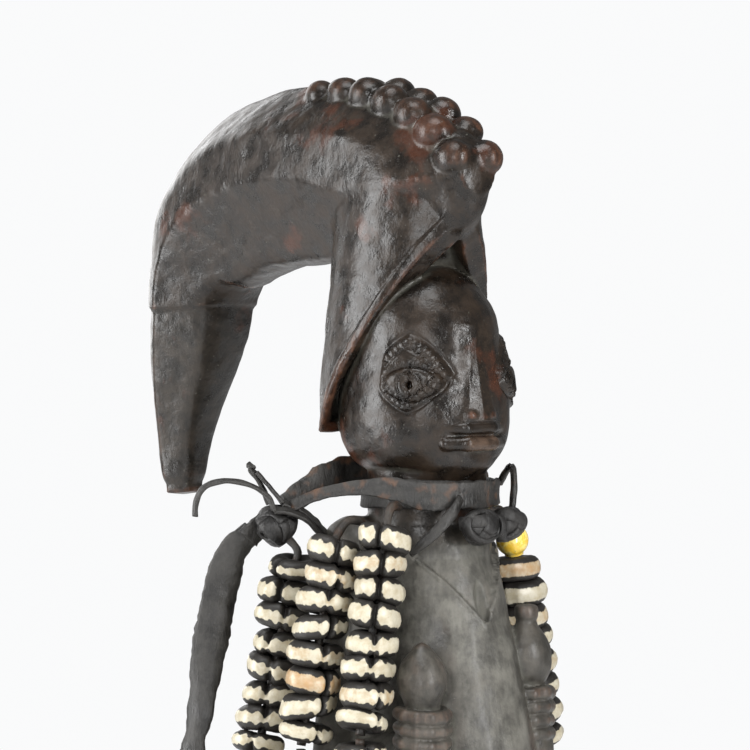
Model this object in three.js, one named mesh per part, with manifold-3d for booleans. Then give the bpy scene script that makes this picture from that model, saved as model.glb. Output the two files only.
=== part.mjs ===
// A carved hardwood figure that kneels on a round base and holds a gourd in each hand. Its hair is
// drawn up into a tall hood and sweeps back as one heavy hook, with two rows of small gourds along
// the crest. A leather thong is tied round the neck. Six strings of cut shells, strung flat on one
// another, hang from it, and so does one flat leather strap.
//
// Millimetres, +Z up. The origin is on the underside of the base, below the neck's axis. The figure
// looks along -Y, so its right hand is on the -X side.

import * as THREE from "three";
import { mergeVertices } from "three/addons/utils/BufferGeometryUtils.js";
import Module from "manifold-3d";

const wasm = await Module();
wasm.setup();

// ---------------------------------------------------------------- driving dimensions

const BASE_RADIUS = 47;
const BASE_HEIGHT = 24;
const BASE_EDGE = 3; // rounding of the base's rims
const BASE_BACK = 9; // how far the base's centre lies behind the neck's axis

const NECK_HEIGHT = 240; // the middle of the neck, where the thong is tied
const NECK_RADIUS = 17.5;
const NECK_LENGTH = 30;
const HOOK_REACH = 139; // from the neck's axis to the back of the hook

const HOOD_BOTTOM = 259; // the hood's lower edge, at the jaw
const RIM_TOP = 318.5; // where the hood's rim peaks above the forehead
const RIM_SLOPE = THREE.MathUtils.degToRad(58); // the rim's plane against the horizontal

const BUMP_RADIUS = 4.6; // small gourds on the crest
const GOURD_LENGTH = 54;
const GOURD_RADIUS = 8;

const BAND_THICKNESS = 1.6; // leather of the neck thong
const BAND_WIDTH = 8;
const BAND_GAP = 0.5; // between the thong and the neck
const LEATHER_GAP = 0.4; // between leather pieces that touch
const LACE_RADIUS = 1.3; // laces that the shells hang on
const STRAP_WIDTH = 12;
const STRAP_THICKNESS = 1.6;
const TAIL_WIDTH = 3;
const TAIL_THICKNESS = 1;
const KNOT_RADIUS = 5.6;

const SHELL_WIDTH = 15; // across the shell's back
const SHELL_LENGTH = 18; // along its slot
const SHELL_PITCH = 7.4; // from one shell to the next on the lace
const SHELL_GROOVE = 0.55; // size at the groove between two shells, as a share of the full shell
const SHELLS_UPPER = 4; // shells in each of the two runs above a string's bend
const STRINGS_END = 58; // the least height that the shells reach down to
const RUN_GAP = 0.5; // bare lace between two runs
const BEND_GAP = 1.8; // bare lace where a strand bends
const BORE_CLEARANCE = 0.4; // between a lace and the shells round it
const STRAND_SPACE = 1; // between neighbouring strands
const END_KNOT = { wide: 3.4, high: 3 };
const BEAD_RADIUS = 4.3;

const WOOD = { color: 0x2e2621, roughness: 0.42, metalness: 0 };
const LEATHER = { color: 0x2f2d2a, roughness: 0.8, metalness: 0 };
const SHELL = { color: 0xe8e0c8, roughness: 0.35, metalness: 0 };
const BEAD = { color: 0xe0bb35, roughness: 0.25, metalness: 0 };

// ---------------------------------------------------------------- geometry helpers

const v = (x, y, z) => new THREE.Vector3(x, y, z);

// A closed surface through rings of points, each ring with the same number of points. The first and
// last rings are capped, or meet each other when `looped`.
function loft(rings, looped = false) {
  const count = rings[0].length;
  const points = rings.flat();
  const last = (rings.length - 1) * count;
  const faces = [];
  for (let i = 0; i < count; i++) {
    const j = (i + 1) % count;
    for (let a = 0; a < last || (looped && a === last); a += count) {
      const b = a === last ? 0 : a + count;
      faces.push(a + i, a + j, b + j, a + i, b + j, b + i);
    }
    if (!looped) {
      faces.push(points.length, j, i, points.length + 1, last + i, last + j);
    }
  }
  if (!looped) {
    points.push(...[rings[0], rings.at(-1)].map((ring) => centroid(ring)));
  }
  const geometry = new THREE.BufferGeometry().setFromPoints(points);
  geometry.setIndex(faces);
  return geometry;
}

function centroid(points) {
  return points.reduce((sum, p) => sum.add(p), v(0, 0, 0)).divideScalar(points.length);
}

// A geometry as a manifold-3d solid, turned to face outwards.
function solid(geometry) {
  const plain = geometry.clone();
  plain.deleteAttribute("normal");
  plain.deleteAttribute("uv");
  const merged = mergeVertices(plain, 1e-3);
  const vertProperties = new Float32Array(merged.attributes.position.array);
  const triVerts = new Uint32Array(merged.index.array);
  const make = () => new wasm.Manifold(new wasm.Mesh({ numProp: 3, vertProperties, triVerts }));
  let made = make();
  if (made.volume() < 0) {
    for (let i = 0; i < triVerts.length; i += 3) {
      [triVerts[i + 1], triVerts[i + 2]] = [triVerts[i + 2], triVerts[i + 1]];
    }
    made = make();
  }
  return made;
}

const join = (solids) => solids.reduce((whole, next) => whole.add(next));

function toGeometry(manifold) {
  const { vertProperties, triVerts, numProp, numVert } = manifold.getMesh();
  const positions = new Float32Array(numVert * 3);
  for (let i = 0; i < numVert; i++) {
    positions.set(vertProperties.subarray(i * numProp, i * numProp + 3), i * 3);
  }
  const geometry = new THREE.BufferGeometry();
  geometry.setAttribute("position", new THREE.BufferAttribute(positions, 3));
  geometry.setIndex(new THREE.BufferAttribute(triVerts, 1));
  return geometry;
}

function ellipsoid(centre, radii, across, down) {
  const geometry = new THREE.SphereGeometry(1, across, down);
  geometry.scale(...radii);
  geometry.translate(centre.x, centre.y, centre.z);
  return solid(geometry);
}

// A level ring round a vertical body: half width, front and back in Y.
function levelRing(z, halfWidth, front, back, power = 2, count = 18) {
  const middle = (front + back) / 2;
  const reach = (back - front) / 2;
  return Array.from({ length: count }, (_, i) => {
    const turn = (2 * Math.PI * i) / count;
    const x = Math.sign(Math.cos(turn)) * Math.abs(Math.cos(turn)) ** (2 / power);
    const y = Math.sign(Math.sin(turn)) * Math.abs(Math.sin(turn)) ** (2 / power);
    return v(x * halfWidth, middle + y * reach, z);
  });
}

// Unit vectors across a path at each of its points, kept as near to `side` as the path allows.
function frames(points, side) {
  return points.map((p, i) => {
    const before = points[Math.max(i - 1, 0)];
    const after = points[Math.min(i + 1, points.length - 1)];
    const along = after.clone().sub(before).normalize();
    const across = side.clone().addScaledVector(along, -side.dot(along)).normalize();
    return { along, across, other: along.clone().cross(across) };
  });
}

// A limb that tapers from one radius to the next along a list of [point, radius].
function limb(stations, segments = 8) {
  const points = stations.map(([p]) => p);
  const across = frames(points, v(1, 0.2, 0));
  const end = (from, towards, radius) => {
    const out = from.clone().sub(towards).normalize();
    return from.clone().addScaledVector(out, radius * 0.6);
  };
  const ring = (centre, frame, radius) =>
    Array.from({ length: segments }, (_, i) => {
      const turn = (2 * Math.PI * i) / segments;
      return centre
        .clone()
        .addScaledVector(frame.across, radius * Math.cos(turn))
        .addScaledVector(frame.other, radius * Math.sin(turn));
    });
  const rings = stations.map(([p, radius], i) => ring(p, across[i], radius));
  const last = stations.length - 1;
  const [start, startRadius] = stations[0];
  const [stop, stopRadius] = stations[last];
  rings.unshift(ring(end(start, stations[1][0], startRadius), across[0], startRadius * 0.7));
  rings.push(ring(end(stop, stations[last - 1][0], stopRadius), across[last], stopRadius * 0.7));
  return solid(loft(rings));
}

// A flat leather strip along a path: width along `side`, thickness across it.
function strip(path, width, thickness, side, steps) {
  const curve = new THREE.CatmullRomCurve3(path, false, "centripetal");
  const points = curve.getSpacedPoints(steps);
  const across = frames(points, side);
  return loft(
    points.map((p, i) => {
      const { across: wide, other: thick } = across[i];
      return [
        [-0.5, -0.5],
        [0.5, -0.5],
        [0.5, 0.5],
        [-0.5, 0.5],
      ].map(([w, t]) =>
        p
          .clone()
          .addScaledVector(wide, w * width)
          .addScaledVector(thick, t * thickness),
      );
    }),
  );
}

const group = new THREE.Group();

function add(name, geometry, look) {
  const mesh = new THREE.Mesh(geometry, new THREE.MeshStandardMaterial(look));
  mesh.name = name;
  group.add(mesh);
}

// ---------------------------------------------------------------- the carved figure

function base() {
  const inner = BASE_RADIUS - BASE_EDGE;
  const profile = [
    [0, 0],
    [inner, 0],
    [BASE_RADIUS, BASE_EDGE],
    [BASE_RADIUS, BASE_HEIGHT - BASE_EDGE],
    [inner, BASE_HEIGHT],
    [0, BASE_HEIGHT],
  ].map(([x, y]) => new THREE.Vector2(x, y));
  const geometry = new THREE.LatheGeometry(profile, 32);
  geometry.rotateX(Math.PI / 2);
  geometry.translate(0, BASE_BACK, 0);
  return solid(geometry);
}

// The figure's heights below are those of one whose neck is tied at CARVED_NECK. Another neck
// height stretches the trunk between the hips and the chest, and all above the chest rides on it.
const CARVED_NECK = 240;
const HIPS = 82;
const CHEST = 200;
const up = (z) => {
  const share = THREE.MathUtils.clamp((z - HIPS) / (CHEST - HIPS), 0, 1);
  return z + share * (NECK_HEIGHT - CARVED_NECK);
};

// [height, half width, front, back] up the body, from the hips to the neck.
const TORSO = [
  [76, 24, -20, 32],
  [88, 29, -29, 37],
  [106, 29, -36, 33],
  [134, 27.5, -41, 27],
  [165, 26, -38.5, 27],
  [190, 22.5, -33, 25],
  [206, 20.5, -28, 23],
  [221, 18.8, -23, 20.5],
  [231, 16.8, -18, 17.5],
];

function torso() {
  return solid(loft(TORSO.map(([z, wide, front, back]) => levelRing(up(z), wide, front, back))));
}

function neck() {
  const geometry = new THREE.CylinderGeometry(NECK_RADIUS, NECK_RADIUS, NECK_LENGTH, 24);
  geometry.rotateX(Math.PI / 2);
  geometry.translate(0, 0, NECK_HEIGHT);
  return solid(geometry);
}

// A kneeling leg: thigh down to the knee, shin back along the base, foot behind.
function leg(side) {
  const hip = v(15 * side, 10, 88);
  const knee = v(19 * side, -24, 41);
  const ankle = v(17 * side, 36, BASE_HEIGHT + 9);
  return [
    limb([
      [hip, 17],
      [hip.clone().lerp(knee, 0.5), 15],
      [knee, 12.5],
    ]),
    limb([
      [v(knee.x, knee.y + 2, BASE_HEIGHT + 10), 11.5],
      [v(knee.x - side, 8, BASE_HEIGHT + 10), 11.5],
      [ankle, 8.5],
    ]),
    ellipsoid(v(16 * side, 44, BASE_HEIGHT + 5.5), [8.5, 9, 7], 10, 8),
    ellipsoid(v(12 * side, 20, 86), [16, 16, 17], 12, 8), // buttock
  ];
}

// Where each hand closes round its gourd. The figure's right hand is carved a little lower. The
// wider the shells, the further in the hands are, to leave room for the front strings.
const HAND_OUT = 23 - SHELL_WIDTH / 5;
const HANDS = [
  { side: -1, shoulder: v(-20.5, 8, up(222)), hand: v(-HAND_OUT, -28, up(172)) },
  { side: 1, shoulder: v(19.5, 10, up(221)), hand: v(HAND_OUT - 2, -22, up(182)) },
];

function arm({ side, shoulder, hand }) {
  const elbow = v(27 * side, 9, hand.z - 14);
  return [
    limb([
      [shoulder, 7.5],
      [shoulder.clone().lerp(elbow, 0.5), 6.6],
      [elbow, 7],
    ]),
    limb([
      [elbow, 7],
      [elbow.clone().lerp(hand, 0.55), 6.2],
      [hand, 6.5],
    ]),
    ellipsoid(hand, [8.2, 8, 9.2], 10, 8),
  ];
}

// A gourd flask: lower bulb, waist in the hand, upper bulb, neck and stopper.
function gourd({ side, hand }) {
  const profile = [
    [0, -0.5],
    [0.6, -0.48],
    [1.02, -0.36],
    [1.0, -0.24],
    [0.6, 0],
    [0.85, 0.15],
    [1.0, 0.28],
    [0.8, 0.38],
    [0.52, 0.44],
    [0.56, 0.45],
    [0.56, 0.54],
    [0, 0.54],
  ].map(([r, h]) => new THREE.Vector2(r * GOURD_RADIUS, h * GOURD_LENGTH));
  const geometry = new THREE.LatheGeometry(profile, 10);
  geometry.rotateX(Math.PI / 2);
  geometry.translate(hand.x + side, hand.y - 1, hand.z);
  return solid(geometry);
}

// The face is an egg with a high forehead, set inside the hood.
function face() {
  const features = [
    ellipsoid(v(0, 2, up(266)), [23, 28, 20.5], 16, 10),
    ellipsoid(v(0, 0, up(284)), [20, 24, 24], 16, 10),
    ellipsoid(v(0, -24, up(269)), [4, 5, 8], 8, 6), // nose
    ellipsoid(v(0, -24, up(256.5)), [11, 5.5, 4], 10, 6), // lips
  ];
  for (const side of [-1, 1]) {
    features.push(ellipsoid(v(14.5 * side, -15, up(273)), [8.5, 7, 9.5], 10, 8)); // eye
  }
  return features;
}

// [height, half width] of the hood, which is cut off along the rim's sloping plane.
const HOOD = [
  [HOOD_BOTTOM, 26],
  [271, 26],
  [284, 24],
  [297, 22],
  [317, 19],
  [338, 17],
];
const HOOD_FRONT = -17.7;
const HOOD_BACK = 37;
const HOOD_POWER = 1.9; // how full the hood's section is, 2 being an ellipse

function hood() {
  const whole = solid(
    loft(HOOD.map(([z, wide]) => levelRing(up(z), wide, HOOD_FRONT, HOOD_BACK, HOOD_POWER))),
  );
  const below = new THREE.BoxGeometry(90, 90, 90);
  below.translate(0, 0, -45);
  below.rotateX(-RIM_SLOPE);
  below.translate(0, HOOD_FRONT, up(RIM_TOP));
  return whole.subtract(solid(below));
}

// [y, z, half width, reach out to the crest, reach in to the keel] along the hook, from the
// forehead, over the top, round the knee and down to the tip.
const HOOK = [
  [-21, 335, 7, 6, 6],
  [-13, 335.5, 13, 11.5, 13],
  [0, 336, 17, 18, 20],
  [20, 336, 18.5, 24, 27],
  [45, 335.5, 19.5, 26.5, 27.5],
  [71.5, 333, 20, 27.5, 27],
  [93.5, 327, 20, 27.5, 26.5],
  [109.5, 317, 20, 25, 24],
  [117.5, 303, 19, 19.5, 19],
  [121, 288, 18, 18, 18],
  [124.5, 277, 16, 16.5, 16.5],
  [127.3, 266, 13.8, 14, 14],
  [129, 256, 11.5, 11.5, 11.5],
  [130, 245, 9, 9, 9],
  [130, 236.5, 6, 6, 6],
];

// Half of the hook's section: crest, shoulder, side edge, then round to the keel.
const HOOK_SECTION = [
  [0, 1],
  [0.5, 0.83],
  [0.93, 0.46],
  [1, 0],
  [0.84, -0.45],
  [0.46, -0.86],
  [0, -1],
];

// Behind the hood the hook stretches with its reach, up to where it turns down.
const STRETCH_FROM = 20;
const STRETCH_TO = 93.5;
const FIRST_REACH = 139;
const back = (y) => {
  const share = THREE.MathUtils.clamp((y - STRETCH_FROM) / (STRETCH_TO - STRETCH_FROM), 0, 1);
  return y + share * (HOOK_REACH - FIRST_REACH);
};

function hook() {
  const centres = HOOK.map(([y, z]) => v(0, back(y), up(z)));
  const across = frames(centres, v(1, 0, 0));
  const mirrored = HOOK_SECTION.slice(1, -1)
    .reverse()
    .map(([x, n]) => [-x, n]);
  return solid(
    loft(
      HOOK.map(([, , wide, crest, keel], i) =>
        [...HOOK_SECTION, ...mirrored].map(([x, n]) =>
          centres[i]
            .clone()
            .addScaledVector(across[i].across, x * wide)
            .addScaledVector(across[i].other, -n * (n > 0 ? crest : keel)),
        ),
      ),
    ),
  );
}

// Two rows of small gourds along the crest, [y, z] on each side of the middle line.
const CREST_BUMPS = [
  [-20, 342.5],
  [-11, 350],
  [0, 355.5],
  [11, 359],
  [22, 361.5],
  [34, 362.5],
  [46, 362],
];

function crestBumps() {
  return CREST_BUMPS.flatMap(([y, z]) =>
    [-1, 1].map((side) =>
      ellipsoid(v(BUMP_RADIUS * side, back(y) - side, up(z) - 2), Array(3).fill(BUMP_RADIUS), 7, 5),
    ),
  );
}

const figure = join([
  base(),
  torso(),
  neck(),
  ...[-1, 1].flatMap(leg),
  ...HANDS.flatMap(arm),
  ...HANDS.map(gourd),
  ...face(),
  hood(),
  hook(),
  ...crestBumps(),
]);
add("carved_figure", toGeometry(figure), WOOD);

// ---------------------------------------------------------------- the leather at the neck

// A point at an angle round the neck's axis, in degrees from +X towards +Y.
const polar = (angle, radius, z) => {
  const turn = THREE.MathUtils.degToRad(angle);
  return v(radius * Math.cos(turn), radius * Math.sin(turn), z);
};

const UP = v(0, 0, 1);
const INNER_BAND = NECK_RADIUS + BAND_GAP + BAND_THICKNESS; // outside of the thong's first turn
const LOOP_RADIUS = INNER_BAND + LEATHER_GAP + BAND_THICKNESS / 2; // middle of its second turn
const LOOP_OUTSIDE = LOOP_RADIUS + BAND_THICKNESS / 2;

// Where the strings of shells hang: how far out, and how far round from one to the next.
const STRAND_RADIUS = LOOP_OUTSIDE + SHELL_LENGTH / 2 + SHELL_WIDTH / 5;
const STRAND_STEP = THREE.MathUtils.radToDeg((SHELL_WIDTH + STRAND_SPACE) / (STRAND_RADIUS + 3));
const RIGHT = 188; // the middle string on the figure's right
const LEFT = 32; // and on its left

// The first turn, tight round the neck.
function innerBand() {
  const inside = INNER_BAND - BAND_THICKNESS;
  const profile = [
    [inside, -1],
    [INNER_BAND, -1],
    [INNER_BAND, 1],
    [inside, 1],
    [inside, -1],
  ].map(([r, h]) => new THREE.Vector2(r, (h * BAND_WIDTH) / 2));
  const geometry = new THREE.LatheGeometry(profile, 24);
  geometry.rotateX(Math.PI / 2);
  geometry.translate(0, 0, NECK_HEIGHT + 1);
  return toGeometry(solid(geometry));
}

// The second turn leaves the neck on the figure's right, where it is knotted over the shoulder.
const KNOT_ANGLE = RIGHT - STRAND_STEP - 7; // just past the back string
const SHOULDER_KNOT = polar(KNOT_ANGLE, NECK_RADIUS + 27.5, NECK_HEIGHT - 8.3);
const KNOT_EDGE = KNOT_RADIUS + LEATHER_GAP;

function looseTurn() {
  const path = [
    SHOULDER_KNOT.clone().add(v(KNOT_EDGE * 0.35, -KNOT_EDGE * 0.75, KNOT_EDGE * 0.95)),
    polar(166, LOOP_RADIUS + 13, NECK_HEIGHT + 1),
    polar(180, LOOP_RADIUS + 4.5, NECK_HEIGHT + 3),
    polar(205, LOOP_RADIUS + 0.5, NECK_HEIGHT + 3),
    ...[230, 260, 290, 320, 350, 20, 50].map((angle) => polar(angle, LOOP_RADIUS, NECK_HEIGHT + 1)),
    polar(80, LOOP_RADIUS + 0.5, NECK_HEIGHT + 3),
    polar(105, LOOP_RADIUS + 1.5, NECK_HEIGHT + 6),
    polar(128, LOOP_RADIUS + 6, NECK_HEIGHT + 6),
    SHOULDER_KNOT.clone().add(v(KNOT_EDGE * 0.75, KNOT_EDGE * 0.3, KNOT_EDGE)),
  ];
  return strip(path, BAND_WIDTH, BAND_THICKNESS, UP, 36);
}

function knot(centre, radii, turned = 0) {
  const geometry = new THREE.SphereGeometry(1, 10, 8);
  geometry.scale(...radii);
  geometry.rotateZ(THREE.MathUtils.degToRad(turned));
  geometry.translate(centre.x, centre.y, centre.z);
  return toGeometry(solid(geometry));
}

// Two knots hang under the second turn at the throat.
const THROAT_KNOT = { out: 4.2, wide: 6.5, high: 4.6 };
const THROAT_RADIUS = NECK_RADIUS + 7.5;
const THROAT_HEIGHT = NECK_HEIGHT + 1 - BAND_WIDTH / 2 - LEATHER_GAP - THROAT_KNOT.high;
const THROAT_ANGLES = { throat_knot_near: 270, throat_knot_far: 305 };

add("neck_band_inner", innerBand(), LEATHER);
add("neck_band_loose_turn", looseTurn(), LEATHER);
add("shoulder_knot", knot(SHOULDER_KNOT, Array(3).fill(KNOT_RADIUS)), LEATHER);
for (const [name, angle] of Object.entries(THROAT_ANGLES)) {
  const { out, wide, high } = THROAT_KNOT;
  add(name, knot(polar(angle, THROAT_RADIUS, THROAT_HEIGHT), [out, wide, high], angle), LEATHER);
}

// A narrow end that runs down from the near throat knot towards the shoulder.
add(
  "throat_tail",
  strip(
    [
      polar(252, THROAT_RADIUS + 0.5, THROAT_HEIGHT + 2.5),
      polar(242, THROAT_RADIUS + 0.5, THROAT_HEIGHT - 1),
      polar(232, THROAT_RADIUS + 0.3, THROAT_HEIGHT - 5),
    ],
    TAIL_WIDTH,
    TAIL_THICKNESS,
    UP,
    5,
  ),
  LEATHER,
);

// A thin end that arcs over the second turn into the far throat knot.
add(
  "throat_loop",
  strip(
    [
      polar(335, LOOP_OUTSIDE + 1.6, NECK_HEIGHT + 6),
      polar(328, LOOP_OUTSIDE + 3, NECK_HEIGHT + 8.5),
      polar(318, LOOP_OUTSIDE + 4, NECK_HEIGHT + 6),
      polar(311, LOOP_OUTSIDE + 4, THROAT_HEIGHT + THROAT_KNOT.high + 1),
    ],
    TAIL_WIDTH * 0.6,
    TAIL_THICKNESS,
    v(0, 1, 0),
    8,
  ),
  LEATHER,
);

// Stiff narrow ends that stand off the shoulder knot, each a list of steps from the knot.
const fromKnot = (steps) => steps.map(([x, y, z]) => SHOULDER_KNOT.clone().add(v(x, y, z)));

const LONG_TAIL = [
  [-3.5, -4, 4.5],
  [-5.5, -4, 8.5],
  [-10, -3.5, 11.6],
  [-15, -2, 13.4],
  [-20, 0, 13.6],
  [-24, 2, 12],
  [-25.6, 3.6, 8.5],
  [-25.6, 4.6, 3.5],
];
const SHORT_TAIL = [
  [0.5, -2.5, 6.5],
  [-1.5, -0.5, 10],
  [-3.8, 1.2, 13.2],
  [-5.6, 2.4, 15.6],
];
function shoulderTail(steps, sections) {
  return strip(fromKnot(steps), TAIL_WIDTH, TAIL_THICKNESS, v(0.3, 1, 0), sections);
}

add("shoulder_tail_long", shoulderTail(LONG_TAIL, 20), LEATHER);
add("shoulder_tail_short", shoulderTail(SHORT_TAIL, 8), LEATHER);

// The flat strap hangs free from the shoulder knot.
const HANGING_STRAP = [
  [-4.8, 4.6, -2],
  [-9.5, 8.2, -8],
  [-12, 10.2, -19],
  [-14.2, 12, -32],
  [-17, 14.7, -49],
  [-18.9, 17.4, -66],
  [-20, 18.8, -84],
  [-20.6, 19.6, -102],
  [-21, 20, -120],
  [-21.1, 20.2, -138],
  [-21.2, 20.3, -155],
];
const STRAP_FACE = v(0.8, -0.6, 0); // along the strap's width
add(
  "hanging_strap",
  strip(fromKnot(HANGING_STRAP), STRAP_WIDTH, STRAP_THICKNESS, STRAP_FACE, 26),
  LEATHER,
);

// ---------------------------------------------------------------- the strings of shells

// A lace along a curve, as a round cord with eight sides.
function cord(curve, steps) {
  const section = new THREE.Shape(
    Array.from({ length: 8 }, (_, i) => {
      const turn = (Math.PI * (2 * i + 1)) / 8;
      return new THREE.Vector2(LACE_RADIUS * Math.cos(turn), LACE_RADIUS * Math.sin(turn));
    }),
  );
  return solid(
    new THREE.ExtrudeGeometry(section, { extrudePath: curve, steps, bevelEnabled: false }),
  );
}

// A body with the lace's bore through it, hanging `down` from `top`. Its outline is a list of
// [depth, half length, half width], and its long side lies along `out`.
function threaded(top, down, out, outline) {
  const side = down.clone().cross(out).normalize();
  const ring = ([depth, long, wide]) =>
    Array.from({ length: 8 }, (_, i) => {
      const turn = (Math.PI * (2 * i + 1)) / 8;
      return top
        .clone()
        .addScaledVector(down, depth)
        .addScaledVector(out, long * Math.cos(turn))
        .addScaledVector(side, wide * Math.sin(turn));
    });
  const bore = LACE_RADIUS + BORE_CLEARANCE;
  const inside = [outline.at(-1)[0], outline[0][0]].map((depth) => [depth, bore, bore]);
  return toGeometry(solid(loft([...outline, ...inside].map(ring), true)));
}

// Shells strung flat on one another.
function shellRun(top, down, out, shells) {
  const outline = Array.from({ length: 2 * shells + 1 }, (_, i) => {
    const size = i % 2 ? 0.5 : 0.5 * SHELL_GROOVE;
    return [(i * SHELL_PITCH) / 2, size * SHELL_LENGTH, size * SHELL_WIDTH];
  });
  return threaded(top, down, out, outline);
}

function glassBead(top, down, out) {
  const outline = [0, 30, 60, 90, 120, 150, 180].map((degrees) => {
    const turn = THREE.MathUtils.degToRad(degrees);
    const radius = Math.max(BEAD_RADIUS * Math.sin(turn), BEAD_RADIUS * 0.55);
    return [BEAD_RADIUS * (1 - Math.cos(turn)), radius, radius];
  });
  return threaded(top, down, out, outline);
}

// Three strings hang on each side, a width apart. The ones further back hang further out, where
// the shoulder pushes them, and all of them lean back and out to the bend. `from` is where each
// lace starts: how far outside the thong's second turn, and how far above the first shell. The
// laces at the back of the right side come up where that turn passes overhead.
const UPPER_LEAN = THREE.MathUtils.degToRad(11.5);
const LOWER_LEAN = THREE.MathUtils.degToRad(2);
const AT_TURN = { out: LACE_RADIUS + LEATHER_GAP, up: 5.5 };
const STRANDS = [
  { name: "right_front", place: RIGHT + STRAND_STEP, further: 0, drop: 7, lean: 195 },
  { name: "right_middle", place: RIGHT, further: 3, drop: 11, lean: 176, from: { out: 4, up: 5 } },
  { name: "right_back", place: RIGHT - STRAND_STEP, further: 6.6, drop: 16.5, lean: 158 },
  { name: "left_front", place: LEFT - STRAND_STEP, further: 1, drop: 11, lean: 10, bead: true },
  { name: "left_middle", place: LEFT, further: 1.8, drop: 10, lean: 28 },
  { name: "left_back", place: LEFT + STRAND_STEP, further: 1.8, drop: 10, lean: 46 },
];
STRANDS[2].from = { out: STRAND_RADIUS + STRANDS[2].further - LOOP_OUTSIDE, up: 4.5 };

const beyond = (point, direction, distance) => point.clone().addScaledVector(direction, distance);

// The part of `direction` that is square to `axis`.
const across = (direction, axis) => beyond(direction, axis, -direction.dot(axis)).normalize();

// Adds two runs of shells below `top`, and returns the point below them.
function addRuns(name, numbers, top, down, out, shells) {
  let at = top;
  for (const number of numbers) {
    add(`${name}_shells_${number}`, shellRun(at, down, across(out, down), shells), SHELL);
    at = beyond(at, down, shells * SHELL_PITCH + RUN_GAP);
  }
  return at;
}

function strand({ name, place, further, drop, lean, bead, from = AT_TURN }) {
  const radius = STRAND_RADIUS + further;
  const out = polar(place, 1, 0);
  const hang = (slope) => polar(lean, Math.sin(slope), -Math.cos(slope));
  const top = polar(place, radius, NECK_HEIGHT - drop);

  const upper = hang(UPPER_LEAN);
  let at = top;
  if (bead) {
    add(`${name}_bead`, glassBead(at, upper, across(out, upper)), BEAD);
    at = beyond(at, upper, 2 * BEAD_RADIUS + RUN_GAP);
  }
  at = addRuns(name, [1, 2], at, upper, out, SHELLS_UPPER);
  const bend = beyond(at, upper, BEND_GAP / 2 - RUN_GAP);

  const entry = beyond(top, upper, -1);
  const start = polar(place, LOOP_OUTSIDE + from.out, top.z + from.up);
  const arch = [start, start.clone().lerp(entry, 0.6).add(v(0, 0, 1.4)), entry];
  const leading = cord(new THREE.CatmullRomCurve3([...arch, beyond(entry, upper, 0.6)]), 6);
  const threading = cord(new THREE.LineCurve3(entry, beyond(bend, upper, -LEATHER_GAP)), 1);
  add(`${name}_lace_upper`, toGeometry(leading.add(threading)), LEATHER);

  const lower = hang(LOWER_LEAN);
  const shellsLower = Math.floor((bend.z - STRINGS_END) / SHELL_PITCH / 2);
  at = addRuns(name, [3, 4], beyond(bend, lower, BEND_GAP / 2), lower, out, shellsLower);
  const tail = cord(new THREE.LineCurve3(beyond(bend, lower, LEATHER_GAP), at), 1);
  add(`${name}_lace_lower`, toGeometry(tail), LEATHER);
  const { wide, high } = END_KNOT;
  add(`${name}_end_knot`, knot(beyond(at, lower, LEATHER_GAP + high), [wide, wide, high]), LEATHER);
}

STRANDS.forEach(strand);

export default group;
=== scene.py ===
"""Looks for a carved kneeling figure with a hooked hood, a knotted leather thong at the neck, and
six strings of cut shells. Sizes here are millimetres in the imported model's frame, and make() turns
them into metres."""

import math

import bmesh
import bpy
import numpy as np
import openvdb
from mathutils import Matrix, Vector


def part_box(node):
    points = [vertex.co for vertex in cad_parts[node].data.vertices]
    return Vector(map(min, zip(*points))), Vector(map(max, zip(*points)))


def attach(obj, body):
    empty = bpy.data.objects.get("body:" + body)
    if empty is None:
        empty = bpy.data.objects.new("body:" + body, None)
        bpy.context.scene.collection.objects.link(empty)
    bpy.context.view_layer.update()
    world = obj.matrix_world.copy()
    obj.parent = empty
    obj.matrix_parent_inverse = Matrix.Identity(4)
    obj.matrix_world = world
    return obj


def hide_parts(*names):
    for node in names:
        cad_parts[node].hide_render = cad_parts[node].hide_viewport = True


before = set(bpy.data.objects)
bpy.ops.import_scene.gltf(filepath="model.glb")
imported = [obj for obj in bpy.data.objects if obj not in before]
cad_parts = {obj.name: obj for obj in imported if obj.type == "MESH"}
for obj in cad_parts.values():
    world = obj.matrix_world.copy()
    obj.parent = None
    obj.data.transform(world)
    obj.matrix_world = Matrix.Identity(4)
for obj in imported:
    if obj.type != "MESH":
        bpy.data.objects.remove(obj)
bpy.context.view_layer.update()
MM = 0.001


# ---- small helpers


def unit(a):
    a = np.asarray(a, float)
    return a / np.linalg.norm(a, axis=-1, keepdims=True)


def step_up(lo, hi, x):
    t = np.clip((x - lo) / (hi - lo), 0, 1)
    return t * t * (3 - 2 * t)


def hill(x, centre, width):
    """1 at the centre, falling off smoothly to both sides."""
    return np.exp(-(((x - centre) / width) ** 2))


def spline(rows, count):
    """A smooth curve through rows of numbers, at equal steps along it."""
    p = np.asarray(rows, float)
    ends = np.vstack([2 * p[0] - p[1], p, 2 * p[-1] - p[-2]])
    runs = []
    for p0, p1, p2, p3 in zip(ends, ends[1:], ends[2:], ends[3:]):
        d0, d1, d2 = (np.linalg.norm(b - a) ** 0.5 + 1e-9 for a, b in ((p0, p1), (p1, p2), (p2, p3)))
        m1 = ((p1 - p0) / d0 - (p2 - p0) / (d0 + d1) + (p2 - p1) / d1) * d1
        m2 = ((p2 - p1) / d1 - (p3 - p1) / (d1 + d2) + (p3 - p2) / d2) * d1
        t = np.linspace(0, 1, 24, endpoint=False)[:, None]
        h1, h2 = 2 * t**3 - 3 * t**2 + 1, t**3 - 2 * t**2 + t
        runs.append(h1 * p1 + h2 * m1 + (1 - h1) * p2 + (t**3 - t**2) * m2)
    fine = np.vstack([*runs, p[-1:]])
    along = np.concatenate([[0], np.cumsum(np.linalg.norm(np.diff(fine, axis=0), axis=1))])
    at = np.linspace(0, along[-1], count)
    return np.stack([np.interp(at, along, column) for column in fine.T], 1)


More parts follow.
